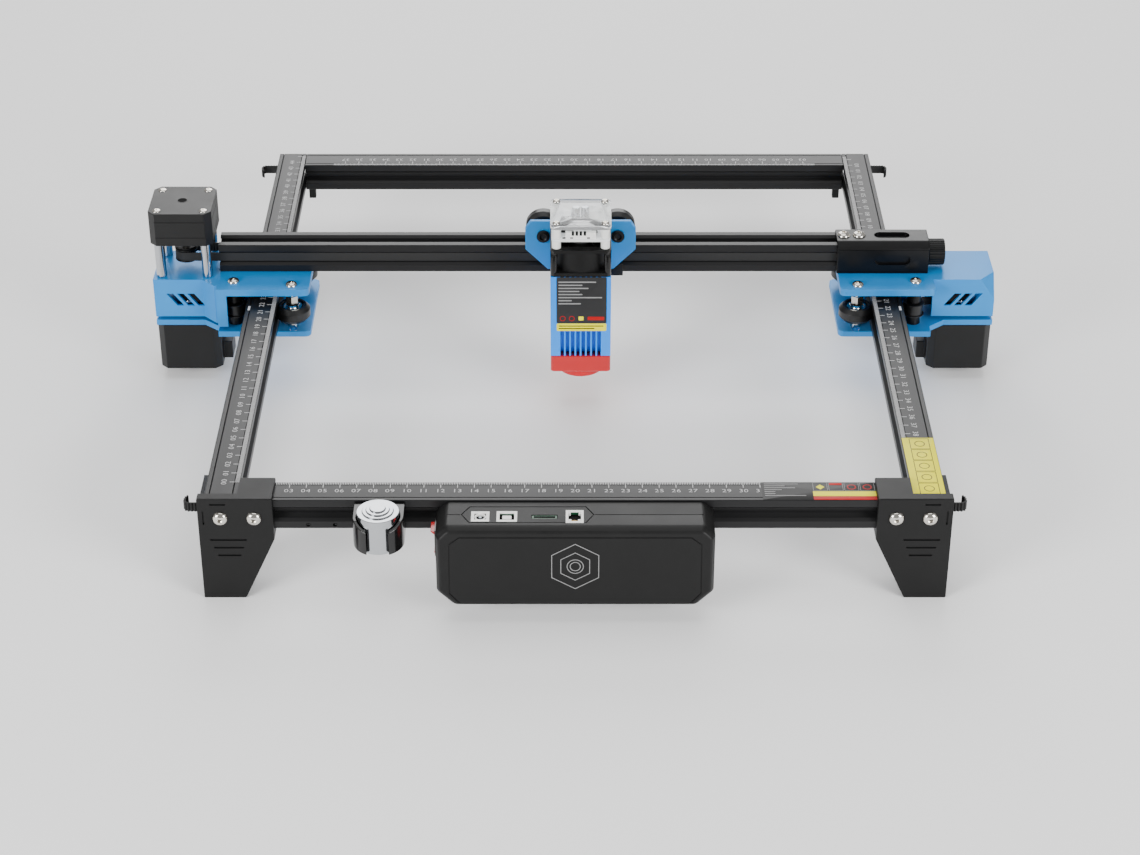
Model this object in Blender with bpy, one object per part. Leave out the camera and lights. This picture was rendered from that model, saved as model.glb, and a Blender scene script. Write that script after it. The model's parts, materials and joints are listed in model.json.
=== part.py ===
"""Desktop laser cutter: aluminium-profile frame, belt-driven gantry, carriage and laser module.

World frame: +X to the right along the gantry beam, +Y to the rear, +Z up, metres.
The origin is on the standing surface, under the centre of the bounding box.
"""
import math

import bmesh
import bpy
from mathutils import Matrix, Vector

# ---- driving dimensions -------------------------------------------------------------------
SEAT = 0.0003             # gap left between pieces that are bolted or pressed together
RUN = 0.0005              # clearance of sliding and turning pieces

PROFILE = 0.020           # side of every aluminium profile
SLOT_MOUTH = 0.0102       # slot width at the face
SLOT_LIP = 0.0018         # depth of the 45 degree lips
SLOT_CAVITY = 0.0110      # slot width behind the lips
SLOT_DEPTH = 0.0062       # slot depth
SLOT_FLOOR = 0.0056       # slot width at its floor
GROOVE = 0.0007           # width and depth of the grooves beside the printed scales
GROOVE_INSET = 0.0031     # groove centre, from the profile's edge

X_RAIL_LENGTH = 0.3994    # front and rear rails, between the side rails
Y_RAIL_LENGTH = 0.4750    # side rails, full depth of the frame
BEAM_OVERHANG = 0.030     # gantry beam, beyond the left rail's centre line
BEAM_INSET = 0.010        # gantry beam, short of the right rail's centre line
RAIL_TOP = 0.068          # height of the rails' top faces
GANTRY_Y = 0.0535         # gantry centre at rest
CARRIAGE_X = 0.004        # carriage centre at rest

CORNER_WALL = 0.003       # moulded corner bracket: wall
CORNER_CAP = 0.0025       # plate over the rail ends
CORNER_REACH = 0.0413     # along the X rail
CORNER_FLANK = 0.034      # along the Y rail
CORNER_KNEE = RAIL_TOP - 0.026              # height where the leg starts to taper
CORNER_FLANK_DROP = 0.004 # outer side wall, below the rails' top faces
FOOT_REACH = 0.022        # inner edge of the foot, from the rail's outer face
FOOT_SOLE = 0.003
CAP_OVERLAP = 0.003       # how far the cap covers the side rail

BOX_HALF_WIDTH = 0.0818
BOX_TOP_HALF = 0.0755
BOX_DROP = 0.001          # top face, below the rails' top faces
BOX_BOTTOM = 0.0118
BOX_DEPTH = 0.0297
BOX_WALL = 0.002
BOX_CORNER = 0.0095       # bottom corner cut
BOX_SHOULDER = 0.0055     # top corner cut, vertical
BOX_FRONT_CUT = 0.004     # chamfer round the front face, along Y
BOX_FRONT_DROP = 0.0022   # the same chamfer, across the face
BOARD_THICK = 0.0016
PORT_Y = -0.0160          # centre line of the ports, from the rails' front face
# name: (centre X, width X, width Y, socket X, socket Y)
PORTS = {"power_jack": (-0.0556, 0.0106, 0.0103, 0.0070, 0.0070),
         "usb_socket": (-0.0400, 0.0120, 0.0108, 0.0086, 0.0078),
         "card_slot": (-0.0180, 0.0154, 0.0040, 0.0124, 0.0018),
         "cable_socket": (-0.0003, 0.0104, 0.0130, 0.0074, 0.0090)}
PORT_DEPTH = 0.012
SWITCH_Y = -0.0145        # rocker centre, from the rails' front face
SWITCH_DROP = 0.0155      # rocker centre, below the box's top face
SWITCH_HEIGHT = 0.0150
SWITCH_WIDTH = 0.0110
SWITCH_PROUD = 0.0032
ROCKER_SINK = 0.45        # lower end of the rocker, as a share of the upper end's height
ROCKER_FLAT = 0.3         # half length of the rocker's middle, as a share of its height

GAUGE_X = -0.1155
GAUGE_RADIUS = 0.0125
GAUGE_RISE = 0.0045       # top face, above the rails' top faces
GAUGE_HEIGHT = 0.0250
GAUGE_STEPS = (0.0092, 0.0069, 0.0046)   # radii of the three steps
GAUGE_STEP_RISE = 0.0008
CLIP_WALL = 0.0020
CLIP_MOUTH = 0.0130
CLIP_DROP = 0.0015        # top face, below the rails' top faces
CLIP_HEIGHT = 0.0185
CLIP_SLOPE = 0.004        # how far its rim falls towards the front

PLATE_TOP = RAIL_TOP + 0.010             # top face of the gantry's end plates
PLATE_THICK = 0.005
PLATE_HALF = 0.0355                      # half depth over the wheels
LOWER_TOP = RAIL_TOP - PROFILE - 0.0008
LOWER_THICK = 0.004
LOWER_HALF = 0.0375
PLATE_INNER = 0.032                      # inner edge, from the rail's centre line
PLATE_ROUND = 0.004                      # corner radius of the end plates
PLATE_RIB = (0.0234, 0.0302)             # left front rib, from the rail's centre line
PLATE_SLANT = (0.0320, 0.0410)           # left slanted wall, from the rail's centre line
SLANT_HALF = 0.0302                      # half depth where the slanted wall starts
SKIRT_WALL = 0.002
SKIRT_DROP = 0.0182                      # lower edge of the skirt, below the rails' top faces
VENT_COUNT = 3
VENT_PITCH = 0.0071
VENT_WIDTH = 0.0046
VENT_LEAN = 0.0070
VENT_DROP = (0.0098, 0.0007)             # vents, below the rails' top faces
CORNER_FACET = (0.010, 0.011, 0.015)     # cut on the right block's outer front corner

MOTOR_SIDE = 0.0423
MOTOR_CORNER = 0.0045
MOTOR_OFFSET = 0.053                     # motor axis, from the rail's centre line
MOTOR_PITCH = 0.031                      # mounting holes
Y_MOTOR_CLEARANCE = 0.0089               # undersides of the side motors, above the ground
X_MOTOR_LENGTH = 0.0237
X_MOTOR_LIFT = 0.025                     # height of the motor standoffs
BOSS_RADIUS = 0.011
BOSS_HEIGHT = 0.002
SHAFT_RADIUS = 0.0025
SHAFT_SINK = 0.008                       # depth of the shaft's hole in the motor
CONNECTOR = (0.006, 0.016, 0.013)        # motor connector: depth, width, height
CONNECTOR_LIFT = 0.001
STANDOFF_RADIUS = 0.0035

WHEEL_RADIUS = 0.0118                    # V wheel
WHEEL_RIM = 0.0054                       # rim width
WHEEL_WIDTH = 0.0102
WHEEL_SINK = 0.00195                     # how deep the rim sits in the slot
WHEEL_SPREAD = 0.0285                    # wheels before and behind the gantry's centre
AXLE_RADIUS = 0.0025
IDLER_RADIUS = 0.0060
IDLER_FLANGE = 0.0070
IDLER_WIDTH = 0.0090
IDLER_SPREAD = 0.0235
IDLER_OFFSET = 0.0195                    # idler axis, from the rail's centre line
FLANGE_THICK = 0.0010

BELT_WIDTH = 0.006
BELT_THICK = 0.0014
BELT_IN_SLOT = 0.0070                    # belt's mid plane, from the rail's centre line
PULLEY_RADIUS = 0.0061
PULLEY_FLANGE = 0.0080
PULLEY_HUB = 0.0070
TAIL_REACH = 0.0098                      # free belt ends beyond the corner brackets
TAIL_FRONT = 0.0080                      # from the rails' front ends
TAIL_REAR = 0.0060                       # from the rails' rear ends

TENSIONER_START = 0.033                  # left end, short of the right rail's centre line
TENSIONER_LENGTH = 0.062
TENSIONER_WALL = 0.0023
TENSIONER_CUT = 0.0040                   # 45 degree cuts along its top edges
TENSIONER_DROP = 0.0203                  # depth of its skirts below the beam's top face
TENSIONER_WINDOW = (0.025, 0.051)        # from the left end
WINDOW_TOP = 0.010
WINDOW_SIDE = 0.008
X_IDLER_OFFSET = 0.0045                  # idler axis, from the right rail's centre line
FORK_WEB = (0.0101, 0.0175)              # from the idler axis
FORK_PRONG = 0.0015
FORK_PIN_SINK = 0.0004                   # ends of its pin, below the prongs' outer faces
FORK_THREAD = (-0.002, 0.012)            # screw hole, along X from the web's inner face
KNOB_RADIUS = 0.009
KNOB_LENGTH = 0.011
KNOB_RIDGES = 18
KNOB_VALLEY = 0.93                       # radius between the ridges, as a share of the knob's

CARRIAGE_FRONT = 0.0155                  # front of the carriage plate, before the beam's centre
CARRIAGE_THICK = 0.003
CARRIAGE_HALF = 0.037
CARRIAGE_NECK = 0.014                    # half width of its tongue
CARRIAGE_WING = 0.015                    # how far its slanted sides draw in
CARRIAGE_CUT = (0.0033, 0.0050)          # cut of its top corners, across and down
CARRIAGE_LEVELS = (0.0307, 0.0097, -0.0053, -0.0283)   # top, shoulder, waist, foot, from the beam's centre
PIN_OVERHANG = 0.002                     # axles beyond the wheels they carry
X_WHEEL_SPREAD = 0.025

LASER_SIDE = 0.040
MOUNT_THICK = 0.0034
# laser axis, from the beam's centre
LASER_Y = -(CARRIAGE_FRONT + RUN + MOUNT_THICK + SEAT + LASER_SIDE / 2)
HEATSINK_SPAN = (-0.0473, 0.0122)        # bottom and top, from the beam's centre
FIN_SLOTS = 8
FIN_PITCH = 0.0035
FIN_GAP = 0.0023
FIN_DEPTH = 0.006
MOUNT_INSET = 0.004
BARREL_RADIUS = 0.0075
BARREL_OUT = 0.004                       # barrel below the heatsink
BARREL_WELL = 0.010
LENS_INSET = 0.001
LENS_THICK = 0.002
LENS_RADIUS = 0.0050
SHIELD_HEIGHT = 0.0119
SLEEVE_RADIUS = 0.0155                   # tube inside the shield
SLEEVE_WALL = 0.0014
SLEEVE_OUT = 0.0065                      # tube below the shield
SHIELD_WALL = 0.002
FAN_HEIGHT = 0.0192
FAN_BORE = 0.0185
FAN_HUB = 0.0080
BLADES = 7
BLADE_PITCH = math.radians(38)
BLADE_SECTION = (0.0062, 0.0005)         # half chord, half thickness
SPOKE = (0.0015, 0.0030)                 # half width, height
DRIVER_LIFT = 0.0025                     # board centre, above the fan frame
PILLAR_RADIUS = 0.0030
PILLAR_PITCH = 0.032
COVER_LIFT = 0.0150                      # cover, above the fan frame
COVER_THICK = 0.0030
COVER_SCREW = (0.0027, 0.0014)           # radius and height of the screw heads
OVER = 0.001              # how far cutting shapes run past the faces they cut

# ---- derived places -------------------------------------------------------------------------
RAIL_Z = RAIL_TOP - PROFILE / 2
RAIL_X = X_RAIL_LENGTH / 2 + SEAT + PROFILE / 2
OUTER_X = RAIL_X + PROFILE / 2
FRAME_REAR = (BOX_DEPTH + Y_RAIL_LENGTH - SEAT - CORNER_WALL) / 2
FRAME_FRONT = FRAME_REAR - Y_RAIL_LENGTH
BEAM_Z = PLATE_TOP + SEAT + PROFILE / 2
BEAM_ENDS = (-RAIL_X - BEAM_OVERHANG, RAIL_X - BEAM_INSET)
BOX_TOP = RAIL_TOP - BOX_DROP
TENSIONER_LEFT = RAIL_X - TENSIONER_START
TENSIONER_RIGHT = TENSIONER_LEFT + TENSIONER_LENGTH
X_IDLER = RAIL_X + X_IDLER_OFFSET
HEATSINK_LOW = BEAM_Z + HEATSINK_SPAN[0]
HEATSINK_HIGH = BEAM_Z + HEATSINK_SPAN[1]
FAN_LOW = HEATSINK_HIGH + SEAT
FAN_HIGH = FAN_LOW + FAN_HEIGHT
COVER_LOW = FAN_HIGH + COVER_LIFT
WHEEL_OFFSET = PROFILE / 2 + WHEEL_RADIUS - WHEEL_SINK
MOTOR_X = RAIL_X + MOTOR_OFFSET
IDLER_X = RAIL_X + IDLER_OFFSET
BELT_RADIUS = PULLEY_RADIUS + SEAT + BELT_THICK / 2
PLATE_OUTER = MOTOR_OFFSET + MOTOR_SIDE / 2
BLOCK_HALF = MOTOR_SIDE / 2

# colour (sRGB hex), roughness, metallic
FINISHES = {"black_anodised": ("3a3a3a", 0.45, 0.6), "black_moulding": ("2e2e2e", 0.6, 0.0),
            "blue_plate": ("4da3d8", 0.4, 0.4), "blue_fins": ("3aa5f5", 0.4, 0.4),
            "motor_black": ("262626", 0.5, 0.3), "steel": ("d8d8d8", 0.2, 1.0),
            "belt_rubber": ("1c1c1c", 0.8, 0.0), "wheel_plastic": ("202020", 0.5, 0.0),
            "red_plastic": ("c2353b", 0.3, 0.0), "clear_plastic": ("dfe8ee", 0.1, 0.0),
            "board_green": ("1f5a3a", 0.5, 0.0), "brass": ("c8a24a", 0.3, 1.0),
            "glass": ("cfe4ee", 0.05, 0.0)}


# ---- helpers --------------------------------------------------------------------------------
def material_for(name, finish):
    colour, roughness, metallic = FINISHES[finish]
    material = bpy.data.materials.new(name)
    material.use_nodes = True
    shader = material.node_tree.nodes["Principled BSDF"]
    srgb = [int(colour[i:i + 2], 16) / 255 for i in (0, 2, 4)]
    linear = [c / 12.92 if c <= 0.04045 else ((c + 0.055) / 1.055) ** 2.4 for c in srgb]
    shader.inputs["Base Color"].default_value = (*linear, 1)
    shader.inputs["Roughness"].default_value = roughness
    shader.inputs["Metallic"].default_value = metallic
    return material


def make(name, bm, finish, place=None):
    """Turn a bmesh into a named object with its own material; place is a world matrix."""
    bmesh.ops.remove_doubles(bm, verts=bm.verts, dist=1e-7)
    bmesh.ops.recalc_face_normals(bm, faces=bm.faces)
    mesh = bpy.data.meshes.new(name)
    bm.to_mesh(mesh)
    bm.free()
    mesh.materials.append(material_for(name, finish))
    part = bpy.data.objects.new(name, mesh)
    if place is not None:
        part.matrix_world = place
    bpy.context.scene.collection.objects.link(part)
    return part


def to_axes(axis):
    """Return the function that puts (a, b) of an outline and t along the axis into X, Y, Z."""
    return {"X": lambda a, b, t: (t, a, b),
            "Y": lambda a, b, t: (a, t, b),
            "Z": lambda a, b, t: (a, b, t)}[axis]


def loft(name, loops, finish, place=None):
    """Closed body through loops with equal point counts, capped at both ends."""
    bm = bmesh.new()
    rings = [[bm.verts.new(point) for point in loop] for loop in loops]
    bm.faces.new(rings[0])
    bm.faces.new(rings[-1])
    for lower, upper in zip(rings, rings[1:]):
        for i in range(len(lower)):
            bm.faces.new((lower[i - 1], lower[i], upper[i], upper[i - 1]))
    return make(name, bm, finish, place)


def prism(name, outline, start, end, finish, axis="Z"):
    point = to_axes(axis)
    return loft(name, [[point(a, b, t) for a, b in outline] for t in (start, end)], finish)


def box(name, low, high, finish):
    outline = [(low[0], low[1]), (high[0], low[1]), (high[0], high[1]), (low[0], high[1])]
    return prism(name, outline, low[2], high[2], finish)


def loop_prism(name, outer, inner, start, end, finish):
    """Prism along Z between two closed outlines with equal point counts."""
    bm = bmesh.new()
    rings = [[bm.verts.new((a, b, t)) for a, b in outline]
             for outline, t in ((outer, start), (outer, end), (inner, end), (inner, start))]
    for k in range(4):
        here, there = rings[k], rings[(k + 1) % 4]
        for i in range(len(outer)):
            bm.faces.new((here[i - 1], here[i], there[i], there[i - 1]))
    return make(name, bm, finish)


def turned(name, profile, centre, finish, axis="Z", steps=32):
    """Spin a closed (radius, height) profile about an axis through centre."""
    bm = bmesh.new()
    verts = [bm.verts.new((r, 0, h)) for r, h in profile]
    edges = [bm.edges.new((verts[i - 1], verts[i])) for i in range(len(verts))
             if profile[i - 1][0] > 0 or profile[i][0] > 0]
    bmesh.ops.spin(bm, geom=verts + edges, cent=(0, 0, 0), axis=(0, 0, 1),
                   angle=math.tau, steps=steps, use_merge=True)
    turn = {"X": Matrix.Rotation(math.pi / 2, 4, "Y"),
            "Y": Matrix.Rotation(-math.pi / 2, 4, "X"),
            "Z": Matrix.Identity(4)}[axis]
    part = make(name, bm, finish, Matrix.Translation(centre) @ turn)
    part.data.shade_smooth()
    part.data.set_sharp_from_angle(angle=math.radians(32))
    return part


def combine(target, tools, operation):
    """Boolean the tools into the target, keep the result as its mesh and drop the tools."""
    for tool in tools:
        modifier = target.modifiers.new(tool.name, "BOOLEAN")
        modifier.object = tool
        modifier.operation = operation
        modifier.solver = "EXACT"
    evaluated = target.evaluated_get(bpy.context.evaluated_depsgraph_get())
    mesh = bpy.data.meshes.new_from_object(evaluated)
    target.modifiers.clear()
    target.data = mesh
    mesh.name = target.name
    own = target.material_slots[0].material
    mesh.materials.clear()
    mesh.materials.append(own)
    for tool in tools:
        bpy.data.objects.remove(tool)
    return target


def ride(parts, name, at):
    """Parent parts to an empty that stands on their joint's axis."""
    carrier = bpy.data.objects.new(name, None)
    carrier.location = at
    bpy.context.scene.collection.objects.link(carrier)
    bpy.context.view_layer.update()
    for part in parts:
        part.parent = carrier
        part.matrix_parent_inverse = carrier.matrix_world.inverted()


def arc(centre, radius, start, end, steps):
    """Points on an arc, angles in radians, both ends included."""
    return [(centre[0] + radius * math.cos(start + (end - start) * i / steps),
             centre[1] + radius * math.sin(start + (end - start) * i / steps))
            for i in range(steps + 1)]


def strip(path, thickness):
    """Outline of a strip that runs along an open path."""
    left, right = [], []
    for i, point in enumerate(path):
        before = Vector(path[max(i - 1, 0)])
        after = Vector(path[min(i + 1, len(path) - 1)])
        normal = (after - before).normalized().orthogonal() * thickness / 2
        left.append((point[0] + normal.x, point[1] + normal.y))
        right.append((point[0] - normal.x, point[1] - normal.y))
    return left + right[::-1]


# ---- frame ----------------------------------------------------------------------------------
def profile_section(open_sides):
    """Section of the square profile; sides in the order bottom, right, top, left."""
    half = PROFILE / 2
    slot = [(-SLOT_MOUTH / 2, 0), (SLOT_LIP - SLOT_MOUTH / 2, SLOT_LIP), (-SLOT_CAVITY / 2, SLOT_LIP),
            (-SLOT_CAVITY / 2, SLOT_DEPTH - (SLOT_CAVITY - SLOT_FLOOR) / 2), (-SLOT_FLOOR / 2, SLOT_DEPTH)]
    slot += [(-along, depth) for along, depth in reversed(slot)]
    groove_at = half - GROOVE_INSET
    groove = []
    for middle in (-groove_at, groove_at):
        groove += [(middle - GROOVE / 2, 0), (middle, GROOVE), (middle + GROOVE / 2, 0)]
    section = []
    for side, is_open in enumerate(open_sides):
        angle = side * math.pi / 2
        middle_part = slot if is_open else groove
        for along, depth in [(-half + GROOVE / 2, 0)] + middle_part + [(half - GROOVE / 2, 0)]:
            out = -(half - depth)
            section.append((along * math.cos(angle) - out * math.sin(angle),
                            along * math.sin(angle) + out * math.cos(angle)))
    return section


def rail(name, axis, across, height, start, end, open_sides):
    outline = [(across + a, height + b) for a, b in profile_section(open_sides)]
    return prism(name, outline, start, end, "black_anodised", axis)


def build_rails():
    ruled = (True, True, False, True)
    half = X_RAIL_LENGTH / 2
    rail("front_rail", "X", FRAME_FRONT + PROFILE / 2, RAIL_Z, -half, half, ruled)
    rail("rear_rail", "X", FRAME_REAR - PROFILE / 2, RAIL_Z, -half, half, ruled)
    rail("left_rail", "Y", -RAIL_X, RAIL_Z, FRAME_FRONT, FRAME_REAR, ruled)
    rail("right_rail", "Y", RAIL_X, RAIL_Z, FRAME_FRONT, FRAME_REAR, ruled)


def build_corner(name, side, end):
    """Corner bracket with its leg. side is the sign of X, end the sign of Y.

    u runs from the side rail's outer face towards the middle, v from the rails' end inwards.
    """
    end_y = FRAME_FRONT if end < 0 else FRAME_REAR
    skin = SEAT + CORNER_WALL
    cap_low, cap_high = RAIL_TOP + SEAT, RAIL_TOP + SEAT + CORNER_CAP
    shelf_high = RAIL_TOP - PROFILE - SEAT
    shelf_low = shelf_high - CORNER_WALL

    def world(u, v, z):
        return side * (OUTER_X - u), end_y - end * v, z

    def slab(outline, start, stop, axis):
        point = to_axes(axis)
        loops = [[world(*point(a, b, t)) for a, b in outline] for t in (start, stop)]
        return loft(name + "_tool", loops, "black_moulding")

    flank_top = RAIL_TOP - CORNER_FLANK_DROP
    front = [(-skin, 0), (FOOT_REACH, 0), (CORNER_REACH, CORNER_KNEE), (CORNER_REACH, cap_high),
             (-skin, cap_high)]
    flank = [(-skin, 0), (FOOT_REACH, 0), (CORNER_FLANK, CORNER_KNEE), (CORNER_FLANK, flank_top),
             (-skin, flank_top)]
    sole = [(-skin, -skin), (FOOT_REACH, -skin), (FOOT_REACH, FOOT_REACH), (-skin, FOOT_REACH)]
    shelf = [(-skin, -skin), (CORNER_REACH, -skin), (CORNER_REACH, PROFILE), (PROFILE, PROFILE),
             (PROFILE, CORNER_FLANK), (-skin, CORNER_FLANK)]
    behind = PROFILE + SEAT
    cap = [(-skin, -skin), (CORNER_REACH, -skin), (CORNER_REACH, behind), (behind, behind),
           (behind, CAP_OVERLAP), (-skin, CAP_OVERLAP)]

    def wing(reach):
        wall = CORNER_WALL
        return [(FOOT_REACH - wall, 0), (FOOT_REACH, 0), (reach, CORNER_KNEE), (reach, shelf_high),
                (reach - wall, shelf_high), (reach - wall, CORNER_KNEE)]

    bracket = slab(front, -skin, -SEAT, "Y")
    bracket.name = name
    tools = [slab(flank, -skin, -SEAT, "X"), slab(sole, 0, FOOT_SOLE, "Z"),
             slab(shelf, shelf_low, shelf_high, "Z"), slab(cap, cap_low, cap_high, "Z"),
             slab(wing(CORNER_REACH), -skin, PROFILE, "Y"), slab(wing(CORNER_FLANK), -skin, PROFILE, "X")]
    combine(bracket, tools, "UNION")
    tail = TAIL_FRONT if end < 0 else TAIL_REAR
    half_slot = (BELT_THICK + 4 * RUN) / 2
    half_width = BELT_WIDTH / 2 + RUN
    window = slab([(tail - half_slot, RAIL_Z - half_width), (tail + half_slot, RAIL_Z - half_width),
                   (tail + half_slot, RAIL_Z + half_width), (tail - half_slot, RAIL_Z + half_width)],
                  -2 * skin, 0, "X")
    combine(bracket, [window], "DIFFERENCE")
    bracket.data.name = name


def build_y_belt(name, side):
    """Straight run of the belt in the side rail's outer slot, ends turned out through the brackets."""
    inner = side * (RAIL_X + BELT_IN_SLOT)
    outer = side * (OUTER_X + SEAT + CORNER_WALL + TAIL_REACH)
    bend = BELT_THICK
    front, rear = FRAME_FRONT + TAIL_FRONT, FRAME_REAR - TAIL_REAR
    path = [(outer, front), (inner + side * bend, front), (inner, front + bend),
            (inner, rear - bend), (inner + side * bend, rear), (outer, rear)]
    prism(name, strip(path, BELT_THICK), RAIL_Z - BELT_WIDTH / 2, RAIL_Z + BELT_WIDTH / 2, "belt_rubber")


# ---- control box ----------------------------------------------------------------------------
def box_loop(y, grow, drop=0.0):
    """Eight-sided outline of the control box at depth y, moved outwards by grow."""
    half, top_half = BOX_HALF_WIDTH + grow, BOX_TOP_HALF + grow / 2
    low, high = BOX_BOTTOM - grow, BOX_TOP + grow - drop
    shoulder = high - BOX_SHOULDER
    right = [(half - BOX_CORNER, low), (half, low + BOX_CORNER), (half, shoulder), (top_half, high)]
    return [(x, y, z) for x, z in right] + [(-x, y, z) for x, z in reversed(right)]


def build_control_box():
    back = FRAME_FRONT - SEAT
    front = back - BOX_DEPTH + SEAT
    shell = loft("control_box_shell", [box_loop(back, 0), box_loop(front + BOX_FRONT_CUT, 0),
                 box_loop(front, -BOX_WALL, BOX_FRONT_DROP - BOX_WALL)], "black_moulding")
    cavity = loft("cavity", [box_loop(back + BOX_WALL, -BOX_WALL),
                             box_loop(front + BOX_FRONT_CUT, -BOX_WALL),
                             box_loop(front + BOX_WALL, -2 * BOX_WALL, BOX_FRONT_DROP - BOX_WALL)],
                  "black_moulding")
    tools = [cavity]
    port_y = FRAME_FRONT + PORT_Y
    for name, (x, wide, deep, _, _) in PORTS.items():
        tools.append(box(name + "_hole", (x - wide / 2, port_y - deep / 2, BOX_TOP - 3 * BOX_WALL),
                         (x + wide / 2, port_y + deep / 2, BOX_TOP + BOX_WALL), "black_moulding"))
    switch_y = FRAME_FRONT + SWITCH_Y
    switch_z = BOX_TOP - SWITCH_DROP
    tools.append(box("switch_hole", (-BOX_HALF_WIDTH - BOX_WALL, switch_y - SWITCH_WIDTH / 2 - RUN,
                                     switch_z - SWITCH_HEIGHT / 2 - 2 * RUN),
                     (-BOX_HALF_WIDTH + 2 * BOX_WALL, switch_y + SWITCH_WIDTH / 2 + RUN,
                      switch_z + SWITCH_HEIGHT / 2 + 2 * RUN), "black_moulding"))
    combine(shell, tools, "DIFFERENCE")

    grow = -BOX_WALL - SEAT
    loft("control_box_cover", [box_loop(back, grow), box_loop(back - BOX_WALL, grow)], "black_moulding")

    board_back = back - 2 * BOX_WALL
    board_half = BOX_HALF_WIDTH - BOX_CORNER
    board = box("main_board", (-board_half, board_back - BOARD_THICK, BOX_BOTTOM + BOX_CORNER),
                (board_half, board_back, BOX_TOP - 4 * BOX_WALL), "board_green")
    sockets, holes = [], []
    for name, (x, wide, deep, socket_x, socket_y) in PORTS.items():
        half_x, half_y = wide / 2 - SEAT, deep / 2 - SEAT
        sockets.append(box(name, (x - half_x, port_y - half_y, BOX_TOP - 2 * PORT_DEPTH),
                           (x + half_x, port_y + half_y, BOX_TOP - SEAT), "board_green"))
        foot_top = BOX_TOP - PORT_DEPTH - 2 * BOX_WALL
        sockets.append(box(name + "_foot", (x - half_x / 2, port_y, BOX_TOP - 2 * PORT_DEPTH),
                           (x + half_x / 2, board_back - BOARD_THICK / 2, foot_top), "board_green"))
        holes.append(box(name + "_mouth", (x - socket_x / 2, port_y - socket_y / 2, BOX_TOP - PORT_DEPTH),
                         (x + socket_x / 2, port_y + socket_y / 2, BOX_TOP + BOX_WALL), "board_green"))
    combine(board, sockets, "UNION")
    combine(board, holes, "DIFFERENCE")

    tall, flat = SWITCH_HEIGHT / 2, SWITCH_HEIGHT * ROCKER_FLAT
    rocker = [(-SWITCH_PROUD * ROCKER_SINK, -tall), (0, -flat), (0, flat), (-SWITCH_PROUD, tall),
              (BOX_WALL, tall), (BOX_WALL, -tall)]
    rocker_at = Matrix.Translation((-BOX_HALF_WIDTH, switch_y, switch_z))
    loops = [[(a, t, b) for a, b in rocker] for t in (-SWITCH_WIDTH / 2, SWITCH_WIDTH / 2)]
    loft("power_switch", loops, "red_plastic", rocker_at)


# ---- focus gauge ----------------------------------------------------------------------------
def build_gauge():
    depth = GAUGE_RADIUS + CLIP_WALL
    centre_y = FRAME_FRONT - SEAT - depth
    top = RAIL_TOP + GAUGE_RISE
    bottom = top - GAUGE_HEIGHT
    profile = [(0, bottom), (GAUGE_RADIUS, bottom)]
    level = top - len(GAUGE_STEPS) * GAUGE_STEP_RISE
    radius = GAUGE_RADIUS
    for step in GAUGE_STEPS:
        profile += [(radius, level), (step, level)]
        radius = step
        level += GAUGE_STEP_RISE
    profile += [(radius, top), (0, top)]
    turned("focus_gauge", profile, (GAUGE_X, centre_y, 0), "steel", steps=36)

    inner = GAUGE_RADIUS + RUN
    outer = inner + CLIP_WALL
    open_inner = math.asin(CLIP_MOUTH / 2 / inner)
    open_outer = math.asin(CLIP_MOUTH / 2 / outer)
    centre = (GAUGE_X, centre_y)
    front = -math.pi / 2
    outline = arc(centre, outer, front + open_outer, 0, 8)
    outline += [(GAUGE_X + outer, FRAME_FRONT - SEAT), (GAUGE_X - outer, FRAME_FRONT - SEAT)]
    outline += arc(centre, outer, -math.pi, front - open_outer, 8)
    outline += arc(centre, inner, front - open_inner, front - math.tau + open_inner, 28)
    clip_top = RAIL_TOP - CLIP_DROP
    holder = prism("gauge_holder", outline, clip_top - CLIP_HEIGHT, clip_top, "black_moulding")
    slope = [(centre_y - outer - RUN, clip_top - CLIP_SLOPE), (centre_y - outer - RUN, clip_top + CLIP_SLOPE),
             (centre_y + inner / 2, clip_top + CLIP_SLOPE)]
    tool = prism("slope", slope, GAUGE_X - 2 * outer, GAUGE_X + 2 * outer, "black_moulding", "X")
    combine(holder, [tool], "DIFFERENCE")


# ---- gantry ---------------------------------------------------------------------------------
def plan(side, points):
    """Points given from the side rail's centre line and the gantry's centre, as world X, Y."""
    return [(side * (RAIL_X + across), GANTRY_Y + along) for across, along in points]


def axle(side, across, along, low, high, radius, steps=12):
    centre = (side * (RAIL_X + across), GANTRY_Y + along, 0)
    return turned("axle", [(0, low), (radius, low), (radius, high), (0, high)], centre, "steel", steps=steps)


def rounded(outline, corners):
    """Outline with the named corners turned into arcs of the end plates' radius."""
    points = []
    for i, point in enumerate(outline):
        if i not in corners:
            points.append(point)
            continue
        here = Vector(point)
        back = (Vector(outline[i - 1]) - here).normalized()
        ahead = (Vector(outline[(i + 1) % len(outline)]) - here).normalized()
        centre = here + (back + ahead) * PLATE_ROUND
        start = math.atan2(-ahead.y, -ahead.x)
        turn = math.atan2(ahead.cross(back), ahead.dot(back))
        points += arc(centre, PLATE_ROUND, start, start + turn, 4)
    return points


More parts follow.
